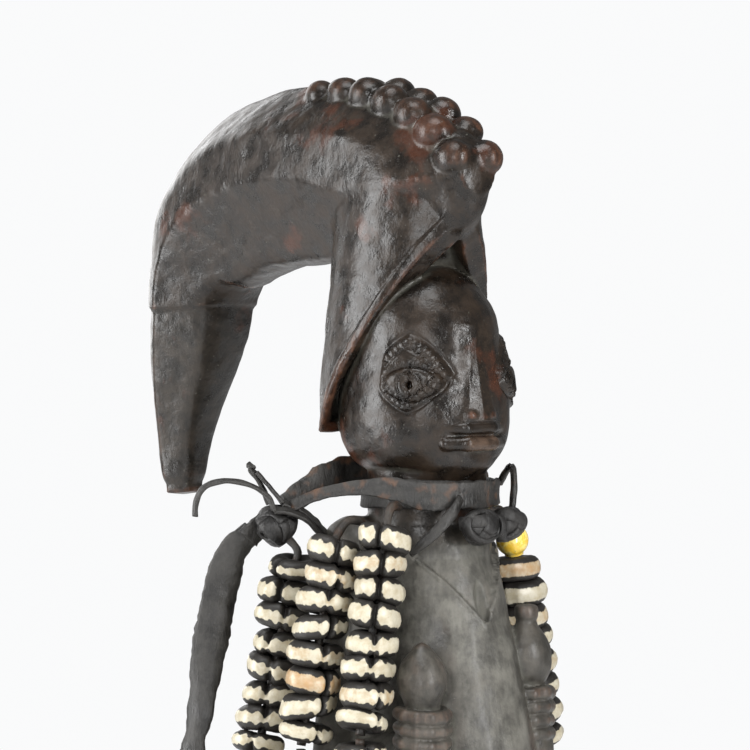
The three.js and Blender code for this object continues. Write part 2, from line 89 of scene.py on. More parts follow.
def ripple(p, size, seed):
    """Smooth unevenness from about -1 to 1, with bumps about `size` across."""
    rng = np.random.default_rng(seed)
    waves = unit(rng.normal(size=(8, 3))) * (2 * np.pi / size) * rng.uniform(0.7, 1.5, (8, 1))
    return np.sin(p @ waves.T + rng.uniform(0, 6.28, 8)).sum(1) / 3.2


def polar(degrees, radius, z):
    turn = math.radians(degrees)
    return np.array([radius * math.cos(turn), radius * math.sin(turn), z])


def middle(node):
    """The middle of a CAD node and its size, in millimetres."""
    lo, hi = (np.array(corner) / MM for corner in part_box(node))
    return (lo + hi) / 2, hi - lo


def make(name, parts, material, body="root", values=None):
    """One smooth mesh from several (points, faces), riding on a body. It takes the place of the
    model's node of the same name, if there is one."""
    points, faces, start = [], [], 0
    for part_points, part_faces in parts:
        points.append(np.asarray(part_points, float))
        faces += [tuple(int(i) + start for i in face) for face in part_faces]
        start += len(part_points)
    nodes = [name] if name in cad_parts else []
    shown = f"{name}.detail" if nodes else name
    mesh = bpy.data.meshes.new(shown)
    mesh.from_pydata((np.vstack(points) * MM).tolist(), [], faces)
    mesh.validate()
    mesh.update()
    mesh.polygons.foreach_set("use_smooth", [True] * len(mesh.polygons))
    for key, numbers in (values or {}).items():
        attribute = mesh.attributes.new(key, "FLOAT", "POINT")
        attribute.data.foreach_set("value", np.asarray(numbers, np.float32))
    mesh.materials.append(material)
    obj = bpy.data.objects.new(shown, mesh)
    bpy.context.scene.collection.objects.link(obj)
    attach(obj, body)
    if nodes:
        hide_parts(*nodes)
    return obj


def rings(points, closed=False, capped=True):
    """Faces through an array of rings of points."""
    count, around = points.shape[:2]
    faces = []
    for i in range(count if closed else count - 1):
        a, b = i * around, ((i + 1) % count) * around
        for j in range(around):
            k = (j + 1) % around
            faces.append((a + j, a + k, b + k, b + j))
    if capped and not closed:
        faces.append(tuple(reversed(range(around))))
        faces.append(tuple((count - 1) * around + j for j in range(around)))
    return points.reshape(-1, 3), faces


# ---- camera, light, floor

AZIMUTH, ELEVATION = math.radians(-36), math.radians(2)
DISTANCE = 1200
LENS = 196
PANNED = 15.3  # the picture's middle lies this far to the left of the neck's axis
AIM_HEIGHT = 275.3

flat_view = np.array([math.sin(AZIMUTH), -math.cos(AZIMUTH), 0])
to_camera = flat_view * math.cos(ELEVATION) + [0, 0, math.sin(ELEVATION)]
to_right = np.array([math.cos(AZIMUTH), math.sin(AZIMUTH), 0])
aim = -PANNED * to_right + np.array([0, 0, AIM_HEIGHT])


def look_at(obj, place, target):
    obj.location = Vector(place) * MM
    direction = (Vector(target) - Vector(place)).normalized()
    obj.rotation_mode = "QUATERNION"
    obj.rotation_quaternion = direction.to_track_quat("-Z", "Y")


camera_data = bpy.data.cameras.new("camera")
camera_data.lens = LENS
camera_data.clip_start, camera_data.clip_end = 0.01, 20
camera = bpy.data.objects.new("camera", camera_data)
bpy.context.scene.collection.objects.link(camera)
bpy.context.scene.camera = camera
look_at(camera, aim + to_camera * DISTANCE, aim)


LIT = (0, 20, 270)  # what every lamp is turned to


def lamp(name, right, near, height, size, watts):
    """A softbox placed by how far right of the figure, towards the camera and up it stands."""
    data = bpy.data.lights.new(name, "AREA")
    data.shape = "RECTANGLE"
    data.size, data.size_y = size[0] * MM, size[1] * MM
    data.energy = watts
    obj = bpy.data.objects.new(name, data)
    bpy.context.scene.collection.objects.link(obj)
    flat = np.array([to_camera[0], to_camera[1], 0])
    look_at(obj, to_right * right + flat * near + np.array([0, 0, height]), LIT)


lamp("key_left", -950, 60, 330, (420, 800), 12)
lamp("top", -150, 250, 1250, (600, 600), 8)
lamp("strip_right", 560, 700, 430, (80, 620), 9)
lamp("front", -350, 950, 420, (300, 500), 5)
lamp("rim_back", -500, -900, 500, (600, 600), 3)

world = bpy.data.worlds.new("studio")
bpy.context.scene.world = world
world.use_nodes = True
links = world.node_tree.links
sky = world.node_tree.nodes["Background"]
sky.inputs["Color"].default_value = (1, 1, 1, 1)
sky.inputs["Strength"].default_value = 0.26
seen = world.node_tree.nodes.new("ShaderNodeBackground")
seen.inputs["Color"].default_value = (0.955, 0.96, 0.965, 1)
seen.inputs["Strength"].default_value = 1.0
path = world.node_tree.nodes.new("ShaderNodeLightPath")
either = world.node_tree.nodes.new("ShaderNodeMixShader")
links.new(path.outputs["Is Camera Ray"], either.inputs[0])
links.new(sky.outputs[0], either.inputs[1])
links.new(seen.outputs[0], either.inputs[2])
links.new(either.outputs[0], world.node_tree.nodes["World Output"].inputs["Surface"])
bpy.context.scene.view_settings.view_transform = "Standard"


# ---- materials


class Shade:
    """A procedural material on one Principled shader. Sizes are in millimetres."""

    def __init__(self, name, **constants):
        self.material = bpy.data.materials.new(name)
        self.material.use_nodes = True
        self.tree = self.material.node_tree
        self.skin = self.tree.nodes["Principled BSDF"]
        for key, value in constants.items():
            self.skin.inputs[key.replace("_", " ")].default_value = value
        self.place = self.node("ShaderNodeTexCoord", "Object")

    def node(self, kind, output=0, inputs=(), **settings):
        made = self.tree.nodes.new(kind)
        for key, value in settings.items():
            setattr(made, key, value)
        for key, value in dict(inputs).items():
            if isinstance(value, bpy.types.NodeSocket):
                self.tree.links.new(value, made.inputs[key])
            else:
                made.inputs[key].default_value = value
        return made.outputs[output]

    def set(self, key, value):
        self.tree.links.new(value, self.skin.inputs[key])

    def math(self, operation, a, b=0.0, clamp=False):
        return self.node("ShaderNodeMath", 0, {0: a, 1: b}, operation=operation, use_clamp=clamp)

    def add(self, a, b, clamp=False):
        return self.math("ADD", a, b, clamp)

    def times(self, a, b):
        return self.math("MULTIPLY", a, b)

    def less(self, a, b):
        return self.math("SUBTRACT", a, b)

    def vary(self, value, noise, amount):
        """The value, moved up and down by a noise."""
        return self.add(value, self.times(self.less(noise, 0.5), amount))

    def mix(self, factor, a, b):
        inputs = {0: factor}
        for socket, colour in ((6, a), (7, b)):
            inputs[socket] = (*colour, 1) if isinstance(colour, tuple) else colour
        return self.node("ShaderNodeMix", 2, inputs, data_type="RGBA")

    def band(self, value, lo, hi, low=0.0, high=1.0):
        inputs = {"Value": value, "From Min": lo, "From Max": hi, "To Min": low, "To Max": high}
        return self.node("ShaderNodeMapRange", 0, inputs, interpolation_type="SMOOTHSTEP")

    def scaled(self, stretch, shift=0.0):
        inputs = {"Vector": self.place, "Scale": stretch, "Location": (shift, shift, shift)}
        return self.node("ShaderNodeMapping", 0, inputs)

    def noise(self, size, detail=3.0, rough=0.55, stretch=(1, 1, 1), shift=0.0, warp=0.0):
        inputs = {
            "Vector": self.scaled(stretch, shift),
            "Scale": 1 / (size * MM),
            "Detail": detail,
            "Roughness": rough,
            "Distortion": warp,
        }
        return self.node("ShaderNodeTexNoise", 0, inputs)

    def facets(self, size, smooth):
        """Shallow facets, as a broad blade leaves them."""
        inputs = {"Vector": self.scaled((1, 1, 1)), "Scale": 1 / (size * MM), "Smoothness": smooth}
        return self.node("ShaderNodeTexVoronoi", "Distance", inputs, feature="SMOOTH_F1")

    def attribute(self, name):
        return self.node("ShaderNodeAttribute", "Fac", attribute_name=name)

    def bump(self, *layers):
        """Layers of (height, depth in millimetres), the coarsest first."""
        normal = None
        for height, depth in layers:
            inputs = {"Height": height, "Distance": depth * MM, "Strength": 1.0}
            if normal is not None:
                inputs["Normal"] = normal
            normal = self.node("ShaderNodeBump", 0, inputs)
        self.set("Normal", normal)


def wood():
    s = Shade("carved_wood", IOR=1.38, Coat_Weight=0.05, Coat_Roughness=0.2)
    ridge, hollow, dry = s.attribute("ridge"), s.attribute("hollow"), s.attribute("dry")
    patches = s.noise(22, 4, 0.6)
    blotches = s.noise(7, 4, 0.65, shift=3)
    fibres = s.noise(1.6, 3, 0.6, stretch=(1, 1, 0.09), warp=0.3)
    fine = s.noise(0.55, 2, 0.6)
    # a near-black skin over red-brown wood
    red = s.band(s.add(s.band(patches, 0.5, 0.72), s.times(fibres, 0.25)), 0.28, 0.92)
    skin = s.mix(s.band(blotches, 0.35, 0.7), (0.0058, 0.0043, 0.0032), (0.02, 0.0128, 0.0078))
    skin = s.mix(s.times(red, s.less(0.75, s.times(dry, 0.7))), skin, (0.05, 0.0165, 0.0075))
    # rubbed ridges, and the front of the lower lip, which is paler
    rubbed = s.times(s.band(s.vary(ridge, blotches, 0.9), 0.7, 1.5), s.less(1.0, s.times(dry, 0.6)))
    bare = s.mix(s.band(fibres, 0.35, 0.7), (0.022, 0.010, 0.006), (0.075, 0.034, 0.019))
    skin = s.mix(rubbed, skin, bare)
    bright = s.times(s.attribute("bright"), s.band(blotches, 0.3, 0.6, 0.2, 0.6))
    skin = s.mix(bright, skin, (0.15, 0.095, 0.065))
    # grey, dry wood on the body
    streaks = s.add(s.times(fibres, 0.3), s.times(blotches, 0.7))
    grey = s.mix(s.band(streaks, 0.3, 0.7), (0.05, 0.048, 0.042), (0.16, 0.155, 0.135))
    skin = s.mix(s.times(dry, s.band(patches, 0.2, 0.75, 0.55, 0.95)), skin, grey)
    # pale dust in the hollows and in a few pits
    dust = s.vary(hollow, s.noise(2.2, 4, 0.7, shift=9), 0.9)
    specks = s.band(s.noise(0.9, 1, 0.5, shift=5), 0.735, 0.79, 0, 0.75)
    dusty = s.math("MAXIMUM", s.band(dust, 0.6, 1.5, 0, 0.4), specks)
    skin = s.mix(dusty, skin, s.mix(fine, (0.045, 0.046, 0.04), (0.13, 0.125, 0.10)))
    s.set("Base Color", skin)
    rough = s.add(s.band(blotches, 0.3, 0.75, 0.2, 0.4), s.times(dry, 0.2))
    rough = s.add(rough, s.times(dusty, 0.35))
    s.set("Roughness", s.add(rough, s.times(fine, 0.08), clamp=True))
    pits = s.noise(2.8, 3, 0.6, shift=8)
    s.bump((s.facets(6.5, 0.35), 0.24), (blotches, 0.3), (pits, 0.22), (fibres, 0.025), (fine, 0.05))
    return s.material


def leather(name, dark=(0.0085, 0.0078, 0.007), pale=(0.036, 0.034, 0.031), brown=0.0):
    s = Shade(name, IOR=1.45)
    patches = s.noise(6, 4, 0.6)
    grain = s.noise(0.8, 4, 0.65, warp=0.4)
    creases = s.noise(1.4, 3, 0.6, stretch=(1, 1, 0.35), shift=4)
    skin = s.mix(s.band(s.add(patches, s.times(grain, 0.35)), 0.45, 0.95), dark, pale)
    skin = s.mix(s.band(s.noise(4, 2, 0.5, shift=7), 0.5, 0.75, 0, brown), skin, (0.11, 0.055, 0.03))
    s.set("Base Color", skin)
    s.set("Roughness", s.band(patches, 0.3, 0.7, 0.4, 0.62))
    s.bump((creases, 0.35), (grain, 0.08))
    return s.material


def shell():
    s = Shade("cut_shell", IOR=1.45, Coat_Weight=0.08, Coat_Roughness=0.15)
    rise, notch, tone, grime = (s.attribute(n) for n in ("rise", "notch", "tone", "grime"))
    blot = s.noise(2.6, 3, 0.6)
    rough_edge = s.noise(0.75, 3, 0.7, shift=6)
    # painted shade on the faces where the shells stack, on their hidden inner sides and in the slot, and
    # some stain near the rim, which reaches in where the teeth are, with a black line of painted shadow
    # along the slot
    teeth = s.times(s.math("SINE", s.times(notch, 1.8)), s.band(notch, 9.0, 2.0))
    edge = s.add(s.math("ABSOLUTE", rise), s.times(teeth, 0.13))
    edge = s.add(s.vary(s.vary(edge, blot, 0.5), rough_edge, 0.1), grime)
    line = s.band(s.vary(notch, rough_edge, 0.8), 1.15, 0.85)
    black = s.math("MAXIMUM", s.band(edge, 0.5, 0.58), line)
    cream = s.mix(s.band(blot, 0.3, 0.75), (0.47, 0.435, 0.34), (0.36, 0.31, 0.21))
    cream = s.mix(s.band(s.add(tone, s.times(blot, 0.6)), 1.0, 1.45), cream, (0.36, 0.22, 0.10))
    cream = s.mix(s.times(s.band(rough_edge, 0.55, 0.75), 0.35), cream, (0.22, 0.17, 0.11))
    # the near-black of the stain and of the painted shade between and inside the shells
    stain_and_shade = s.mix(rough_edge, (0.005, 0.0045, 0.004), (0.018, 0.015, 0.012))
    s.set("Base Color", s.mix(black, cream, stain_and_shade))
    s.set("Roughness", s.add(s.band(black, 0, 1, 0.27, 0.5), s.times(rough_edge, 0.1)))
    s.bump((blot, 0.15), (rough_edge, 0.10))
    return s.material


def glass():
    s = Shade("yellow_glass", IOR=1.5, Coat_Weight=0.4, Coat_Roughness=0.08)
    swirl = s.noise(3, 3, 0.6, warp=1.0)
    skin = s.mix(s.band(swirl, 0.35, 0.65), (0.80, 0.50, 0.04), (0.86, 0.70, 0.20))
    pits = s.band(s.noise(0.5, 2, 0.6, shift=3), 0.62, 0.72, 0, 0.8)
    s.set("Base Color", s.mix(pits, skin, (0.25, 0.17, 0.05)))
    s.set("Roughness", s.band(swirl, 0.3, 0.7, 0.15, 0.35))
    s.bump((swirl, 0.12), (pits, 0.1))
    return s.material


def floor_paint():
    s = Shade("backdrop", Roughness=0.9)
    s.set("Base Color", s.mix(s.noise(300, 2), (0.86, 0.86, 0.86), (0.9, 0.9, 0.9)))
    return s.material


WOOD = wood()
LEATHER = leather("dark_leather")
WORN = leather("worn_thong", brown=0.7)
KNOTTED = leather("knotted_leather", dark=(0.0055, 0.005, 0.0048), pale=(0.024, 0.0225, 0.021))
LACE = leather("shell_lace", dark=(0.008, 0.007, 0.006), pale=(0.04, 0.032, 0.025), brown=0.3)
SHELL = shell()
GLASS = glass()

floor = bpy.data.objects.new("floor", bpy.data.meshes.new("floor"))
FLOOR_RADIUS, FLOOR_SIDES = 1.1, 96  # in metres
turns = np.linspace(0, 2 * math.pi, FLOOR_SIDES, endpoint=False)
floor_edge = [(FLOOR_RADIUS * math.cos(t), FLOOR_RADIUS * math.sin(t), 0) for t in turns]
floor.data.from_pydata(floor_edge, [], [tuple(range(FLOOR_SIDES))])
floor.data.materials.append(floor_paint())
bpy.context.scene.collection.objects.link(floor)


# ---- ribbons of leather

SECTION = [(-0.5, -0.22), (-0.44, -0.5), (-0.16, -0.54), (0.16, -0.54), (0.44, -0.5), (0.5, -0.22)]
SECTION += [(-w, -t) for w, t in SECTION]


def read_along(share, numbers):
    """Numbers given at equal steps, read at shares of the way."""
    return np.interp(share, np.linspace(0, 1, np.size(numbers)), np.atleast_1d(numbers))


def ribbon(path, width, thickness, side, count, seed, cup=0.0, fold=0.0, as_given=False):
    """A strip along a path. The width, the `side` that it lies along and the `fold` may change along
    it. `cup` curls its edges, and `fold` bends it in two along its middle."""
    path = np.asarray(path, float)
    rows = path if as_given else spline(path, count)
    share = np.linspace(0, 1, len(rows))
    turned_side = np.stack([read_along(share, column) for column in np.asarray(side, float).T], 1)
    along = unit(np.gradient(rows, axis=0))
    across = unit(turned_side - along * (turned_side * along).sum(1, keepdims=True))
    other = np.cross(along, across)
    uneven = 1 + 0.07 * ripple(rows, 9, seed) + 0.04 * ripple(rows, 3, seed + 1)
    widths, folds = read_along(share, width) * uneven, read_along(share, fold)
    points = []
    for w, t in SECTION:
        lift = t * thickness + cup * (w * w * 4 - 0.5) * thickness
        lift = lift + (folds * abs(2 * w))[:, None]
        wave = 0.12 * thickness * ripple(rows + w * 7, 5, seed + 2)[:, None]
        points.append(rows + w * widths[:, None] * across + other * (lift + wave))
    return rings(np.stack(points, 1)), rows


def core(centre, radii, seed):
    """The lumpy ball under a knot's strips."""
    turn = np.linspace(0, 2 * np.pi, 24, endpoint=False)
    tilt = np.linspace(0.06, np.pi - 0.06, 14)[:, None]
    grid = [np.sin(tilt) * np.cos(turn), np.sin(tilt) * np.sin(turn), np.cos(tilt) * np.ones(24)]
    points = np.stack(grid, 2) * radii
    flat = points.reshape(-1, 3)
    flat = flat * (1 + 0.06 * ripple(flat, 3.0, seed))[:, None]
    return rings(flat.reshape(points.shape) + centre)


def wound(centre, radii, turns, width, thickness, seed, poles=None):
    """A knot: strips wound over an uneven core, each round a pole of its own."""
    rng = np.random.default_rng(seed)
    centre, radii = np.asarray(centre), np.asarray(radii)
    parts = [core(centre, radii * 0.93, seed)]
    for n in range(turns):
        pole = rng.normal(size=3)
        if poles:
            pole = np.asarray(poles[n % len(poles)]) + pole * 0.2
        pole = unit(pole)
        first = unit(np.cross(pole, [0.3, 0.5, 0.81]))
        second = np.cross(pole, first)
        angles = np.linspace(0, 2 * np.pi, 36, endpoint=False)[:, None]
        loop = np.cos(angles) * first + np.sin(angles) * second + rng.uniform(-0.35, 0.35) * pole
        loop = unit(loop) * (radii * (0.93 + 0.03 * n))
        loop += ripple(loop, 8, seed + n)[:, None] * 0.25
        rows = np.vstack([loop, loop[:1]]) + centre
        parts.append(ribbon(rows, width, thickness, [pole], 0, seed + n, -0.25, as_given=True)[0])
    return parts


# ---- cords: the strap and the long end

knot_middle, knot_size = middle("shoulder_knot")

LONG_TAIL = [
    [-3.5, -4, 4.5],
    [-5.5, -4, 8.5],
    [-10, -3.5, 11.6],
    [-15, -2, 13.4],
    [-20, 0, 13.6],
    [-24, 2, 12],
    [-25.6, 3.6, 8.5],
    [-25.6, 4.6, 3.5],
]
SHORT_TAIL = [[0.5, -2.5, 6.5], [-1.5, -0.5, 10], [-3.8, 1.2, 13.2], [-5.6, 2.4, 15.6]]
HANGING_STRAP = [
    [-4.8, 4.6, -2],
    [-9.5, 8.2, -8],
    [-12, 10.2, -19],
    [-14.2, 12, -32],
    [-17, 14.7, -49],
    [-18.9, 17.4, -66],
    [-20, 18.8, -84],
    [-20.6, 19.6, -102],
    [-21, 20, -120],
    [-21.1, 20.2, -138],
    [-21.2, 20.3, -155],
]


def free_end(name, steps, widths, thickness, sides, count, seed, fold=0.0):
    """A loose end of the knot."""
    path = knot_middle + np.array(steps)
    part, rows = ribbon(path, widths, thickness, sides, count, seed, cup=0.35, fold=fold)
    obj = make(name, [part], LEATHER)


STRAP_WIDTHS = [7, 10, 10.5, 11, 9, 8, 11, 12, 12, 12, 12, 12, 11.5]
STRAP_FOLDS = [-1.2, -2.4, -2.8, -2.4, -1.8, -0.8, -0.5, -0.3, -0.4, -0.2]
STRAP_SIDES = [(0.9, -0.4, 0.1), (0.95, -0.3, 0.2), (0.9, -0.5, 0), (0.3, -0.95, 0), (0.5, -0.85, 0)]
STRAP_SIDES += [(0.85, -0.5, 0), (0.8, -0.6, 0), (0.75, -0.66, 0), (0.8, -0.6, 0)]
TAIL_SIDES = [(0.3, 1, 0), (0.3, 1, 0.3), (0.2, 1, 0)]
LONG_WIDTHS, SHORT_WIDTHS = [3.4, 3.2, 3, 2.8, 2.6, 2.2], [3.2, 3.8, 3.8, 3.4]
free_end("hanging_strap", HANGING_STRAP, STRAP_WIDTHS, 1.4, STRAP_SIDES, 120, 5, STRAP_FOLDS)
free_end("shoulder_tail_long", LONG_TAIL, LONG_WIDTHS, 1.0, TAIL_SIDES, 60, 8)
free_end("shoulder_tail_short", SHORT_TAIL, SHORT_WIDTHS, 1.0, [(0.3, 1, 0.2)], 30, 9)


# ---- the carved figure


class Carving:
    """Distances to a form built up by adding and cutting shapes, each with a soft join."""

    def __init__(self):
        self.steps = []

    def work(self, kind, shape, lo, hi, blend=0.0, margin=7.0):
        self.steps.append((kind, shape, np.array(lo, float) - margin, np.array(hi, float) + margin, blend))

    def add(self, shape, lo, hi, blend=0.0):
        self.work("add", shape, lo, hi, blend)

    def cut(self, shape, lo, hi, blend=0.0):
        self.work("cut", shape, lo, hi, blend)

    def emboss(self, height, lo, hi):
        """Raises the surface by height(x, y, z)."""
        self.work("emboss", height, lo, hi, margin=0.0)

    @staticmethod
    def combined(kind, d, e, k):
        if kind == "emboss":
            return d - e
        if kind == "cut":
            return -Carving.combined("add", -d, e, k)
        k = np.maximum(k, 1e-6)
        h = np.clip(0.5 + 0.5 * (d - e) / k, 0, 1)
        return d + (e - d) * h - k * h * (1 - h)

    def at(self, points):
        """Distance at each of (n, 3) points."""
        d = np.full(len(points), 30.0)
        for kind, shape, lo, hi, k in self.steps:
            inside = np.flatnonzero(((points > lo) & (points < hi)).all(1))
            if len(inside):
                x, y, z = points[inside].T
                d[inside] = self.combined(kind, d[inside], shape(x, y, z), k)
        return d

    def grid(self, axes):
        d = np.full([len(a) for a in axes], 30.0, np.float32)
        for kind, shape, lo, hi, k in self.steps:
            if kind == "emboss":
                continue
            cut = tuple(slice(*np.searchsorted(a, (l, h))) for a, l, h in zip(axes, lo, hi))
            x, y, z = np.ix_(*(a[c] for a, c in zip(axes, cut)))
            d[cut] = self.combined(kind, d[cut], shape(x, y, z), k)
        return d


def egg(centre, radii):
    cx, cy, cz = centre
    rx, ry, rz = radii

    def shape(x, y, z):
        x, y, z = x - cx, y - cy, z - cz
        k0 = np.sqrt((x / rx) ** 2 + (y / ry) ** 2 + (z / rz) ** 2)
        k1 = np.sqrt((x / rx**2) ** 2 + (y / ry**2) ** 2 + (z / rz**2) ** 2) + 1e-9
        return k0 * (k0 - 1) / k1

    return shape, np.array(centre) - radii, np.array(centre) + radii


def rod(a, b, ra, rb):
    a, b = np.array(a, float), np.array(b, float)
    ab = b - a

    def shape(x, y, z):
        px, py, pz = x - a[0], y - a[1], z - a[2]
        t = np.clip((px * ab[0] + py * ab[1] + pz * ab[2]) / (ab @ ab), 0, 1)
        far = np.sqrt((px - t * ab[0]) ** 2 + (py - t * ab[1]) ** 2 + (pz - t * ab[2]) ** 2)
        return far - (ra + (rb - ra) * t)

    r = max(ra, rb)
    return shape, np.minimum(a, b) - r, np.maximum(a, b) + r


def column(table, power=2.0):
    """A body through level sections, [height, half width, front, back]."""
    rows = np.array(table, float)
    heights, wides, fronts, backs = spline(rows, 80).T
    order = np.argsort(heights)

    def shape(x, y, z):
        w = np.interp(z, heights[order], wides[order])
        f = np.interp(z, heights[order], fronts[order])
        b = np.interp(z, heights[order], backs[order])
        m, r = (f + b) / 2, (b - f) / 2
        u, v = np.abs(x) / w, np.abs(y - m) / r
        q = (u**power + v**power + 1e-9) ** (1 / power)
        slope = np.sqrt((u ** (power - 1) / w) ** 2 + (v ** (power - 1) / r) ** 2) / q ** (power - 1) + 1e-6
        d = (q - 1) / np.minimum(slope, 2 / np.minimum(w, r))
        return np.maximum(d, np.maximum(z - heights.max(), heights.min() - z))

    lo = (-wides.max(), fronts.min(), heights.min())
    hi = (wides.max(), backs.max(), heights.max())
    return shape, lo, hi


def turned(centre, profile):
    """A turned form round a vertical axis, [radius, height]."""
    radii, heights = spline(np.array(profile, float), 60).T
    cx, cy, cz = centre

    def shape(x, y, z):
        r = np.sqrt((x - cx) ** 2 + (y - cy) ** 2)
        h = z - cz
        inside = r - np.interp(h, heights, radii)
        slope = np.interp(h, heights, np.gradient(radii, heights + np.arange(60) * 1e-6))
        inside = inside / np.sqrt(1 + np.clip(slope, -1.5, 1.5) ** 2)
        return np.maximum(inside, np.maximum(h - heights[-1], heights[0] - h))

    r = radii.max()
    return shape, (cx - r, cy - r, cz + heights[0]), (cx + r, cy + r, cz + heights[-1])


figure = Carving()


def limb(points, radii, blend):
    """Rods from point to point, with a radius at each."""
    for a, b, ra, rb in zip(points, points[1:], radii, radii[1:]):
        figure.add(*rod(a, b, ra, rb), blend=blend)


def egg_on(centre, radii, blend):
    figure.add(*egg(centre, radii), blend=blend)


BASE_RADIUS, BASE_HEIGHT, BASE_BACK = 47, 24, 9


def base_shape(x, y, z):
    r = np.sqrt(x**2 + (y - BASE_BACK) ** 2)
    around = np.arctan2(y - BASE_BACK, x)
    wobble = 0.25 * np.sin(3 * around + 1) + 0.12 * np.sin(11 * around)
    dr, dz = r - (BASE_RADIUS - 3.2) - wobble, np.abs(z - BASE_HEIGHT / 2) - (BASE_HEIGHT / 2 - 3)
    outside = np.sqrt(np.maximum(dr, 0) ** 2 + np.maximum(dz, 0) ** 2)
    d = outside + np.minimum(np.maximum(dr, dz), 0) - 3
    # two lines cut round the base
    for height in (8.0, 16.5):
        groove = np.sqrt((r - BASE_RADIUS) ** 2 + (z - height) ** 2) - 0.9
        d = np.maximum(d, -groove)
    return d


figure.add(base_shape, (-48, -39, 0), (48, 57, 24))

TORSO = [
    [76, 24, -20, 32],
    [88, 29, -29, 37],
    [106, 29, -36, 33],
    [134, 27.5, -41, 27],
    [165, 26, -38.5, 27],
    [190, 22.5, -33, 25],
    [206, 20.5, -28, 23],
    [221, 18.8, -23, 20.5],
    [231, 16.8, -18, 17.5],
]
figure.add(*column(TORSO), blend=3)


def neck_shape(x, y, z):
    r = np.sqrt(x**2 + y**2)
    radius = 17.5 + 0.035 * np.maximum(234 - z, 0) ** 1.6 * 0.3
    return np.maximum(r - radius, np.abs(z - 240) - 15)


figure.add(neck_shape, (-19, -19, 225), (19, 19, 255), blend=2.5)

for side in (-1, 1):
    hip, knee, ankle = (15 * side, 10, 88), (19 * side, -24, 41), (17 * side, 36, 33)
    thigh = tuple((np.array(hip) + knee) / 2)
    shin, calf = (19 * side, -22, 34.5), (18 * side, 8, 34)
    limb((hip, thigh, knee), (17, 15.3, 12.5), 4)
    limb((shin, calf), (11, 11), 2.5)
    limb((calf, ankle), (11, 8.2), 3)
    egg_on((16 * side, 44, 29.5), (8.5, 9, 7), 2)
    for toe in range(4):
        across = 10.5 * side + 3.6 * toe * side
        limb(((across, 49, 27), (across, 53.4, 26.4)), (1.9, 1.8), 0.5)
    egg_on((12 * side, 20, 86), (16, 16, 17), 1.6)
    # shoulder cap, upper arm, forearm, with the right hand a little lower
    hand = np.array((-21.5, -26.8, 172) if side < 0 else (18, -22, 182))
    shoulder = np.array((-20.5, 8, 222) if side < 0 else (19.5, 10, 221))
    elbow = np.array((27 * side, 9, hand[2] - 14))
    half_up = (shoulder + elbow) / 2 + (0.6 * side, 0.5, 0)
    half_on = elbow + (hand - elbow) * 0.55
    egg_on(shoulder + (1 * -side, 0, 3.6), (9.4, 12, 8.8), 2.5)
    limb((shoulder, half_up, elbow, half_on, hand + (0, 3, -1)), (7.2, 6.7, 6.9, 6.2, 5.6), 1.2)
    # the gourd in the hand
    stem = (hand[0] + side, hand[1] - 1, hand[2])
    flask = [[0.3, -27], [4.5, -26.3], [7.6, -22], [8.2, -17], [7.4, -11], [5.6, -4], [4.9, 1]]
    if side < 0:
        flask += [[4.9, 9], [5.7, 11.5], [7.1, 14.5], [7.4, 17.5], [6.2, 21.5], [3.8, 25], [1.7, 27.4]]
        flask += [[0.2, 28.2]]
    else:
        flask += [[5.4, 3.5], [6.9, 6.5], [7.6, 10], [7.0, 14.5], [5.0, 18.2], [3.4, 20.5], [2.9, 21.6]]
        flask += [[3.3, 22.2], [3.4, 25.4], [2.6, 26.3], [0.2, 26.5]]
    figure.add(*turned(stem, flask), blend=0.5)
    egg_on(hand + (2.4 * -side, 2.5, -1.5), (5.6, 6.2, 9), 0.8)
    # four fingers closed round it
    turns = np.radians(np.linspace(-205, -5, 7) if side < 0 else np.linspace(-175, 25, 7))
    for n in range(4):
        level = hand[2] + (7.6 if side < 0 else 0) - 3.95 * n
        ring = [
            (stem[0] + 6.6 * math.cos(t), stem[1] + 6.6 * math.sin(t), level - 0.9 * math.sin(t * side))
            for t in turns
        ]
        limb(ring, [2.1] * len(ring), 0.3)

egg_on((0, -40.2, 132), (3.0, 2.6, 3.0), 0.8)  # navel

# The head: an egg with a high forehead.
EGG = np.array([0, 1.5, 267]), np.array([18.8, 25.8, 20.6])
CHEEKS = 4.4  # the egg is widened by this much each way, so that the face is flatter in front
JAW_DEPTH = 22.0  # from the egg's middle to the underside of the jaw
one_egg = egg(*EGG)[0]


def face_egg(x, y, z):
    """An egg, wide in front and full at the jaw."""
    low = np.clip((EGG[0][2] - z) / JAW_DEPTH, 0, 1.4)
    full = np.where(z < EGG[0][2], EGG[0][2] - EGG[1][2] * low**1.9, z)
    return one_egg(np.maximum(np.abs(x) - CHEEKS, 0), y, full)


figure.add(face_egg, (-24, -25, 244), (24, 29, 288), blend=1.0)
egg_on((0, -12, 250.8), (12, 10.5, 5.2), 4)  # chin
egg_on((0, 0, 284), (20.3, 23.6, 24), 7)  # the skull and its high forehead

# The hood is cut off along a sloping plane, hollowed behind its rim, and the face stands in it.
RIM_SLOPE = math.radians(58)
HOOD_FRONT, RIM_TOP = -17.7, 318.5
HOOD = [[259, 26], [271, 26], [284, 24], [297, 22], [317, 19], [338, 17]]
hood_outer = column([[z, w, HOOD_FRONT, 37] for z, w in HOOD], 1.9)[0]


def behind_rim(y, z):
    return (y - HOOD_FRONT) * math.sin(RIM_SLOPE) + (z - RIM_TOP) * math.cos(RIM_SLOPE)


def hood_shape(x, y, z):
    behind = behind_rim(y, z)
    d = np.maximum(hood_outer(x, y, z), -behind)
    lip = np.maximum(hood_outer(x, y, z) - 0.55 * step_up(3.4, 2.2, behind), -behind)
    return np.maximum(np.minimum(d, lip), z - 332)


def hood_hollow(x, y, z):
    wall = 2.2 + 0.35 * behind_rim(y, z)
    pointed = np.abs(x) * 0.78 + (z - 315.5) * 0.62
    return np.maximum(np.maximum(hood_outer(x, y, z) + wall, behind_rim(y, z) - 4.8), pointed)


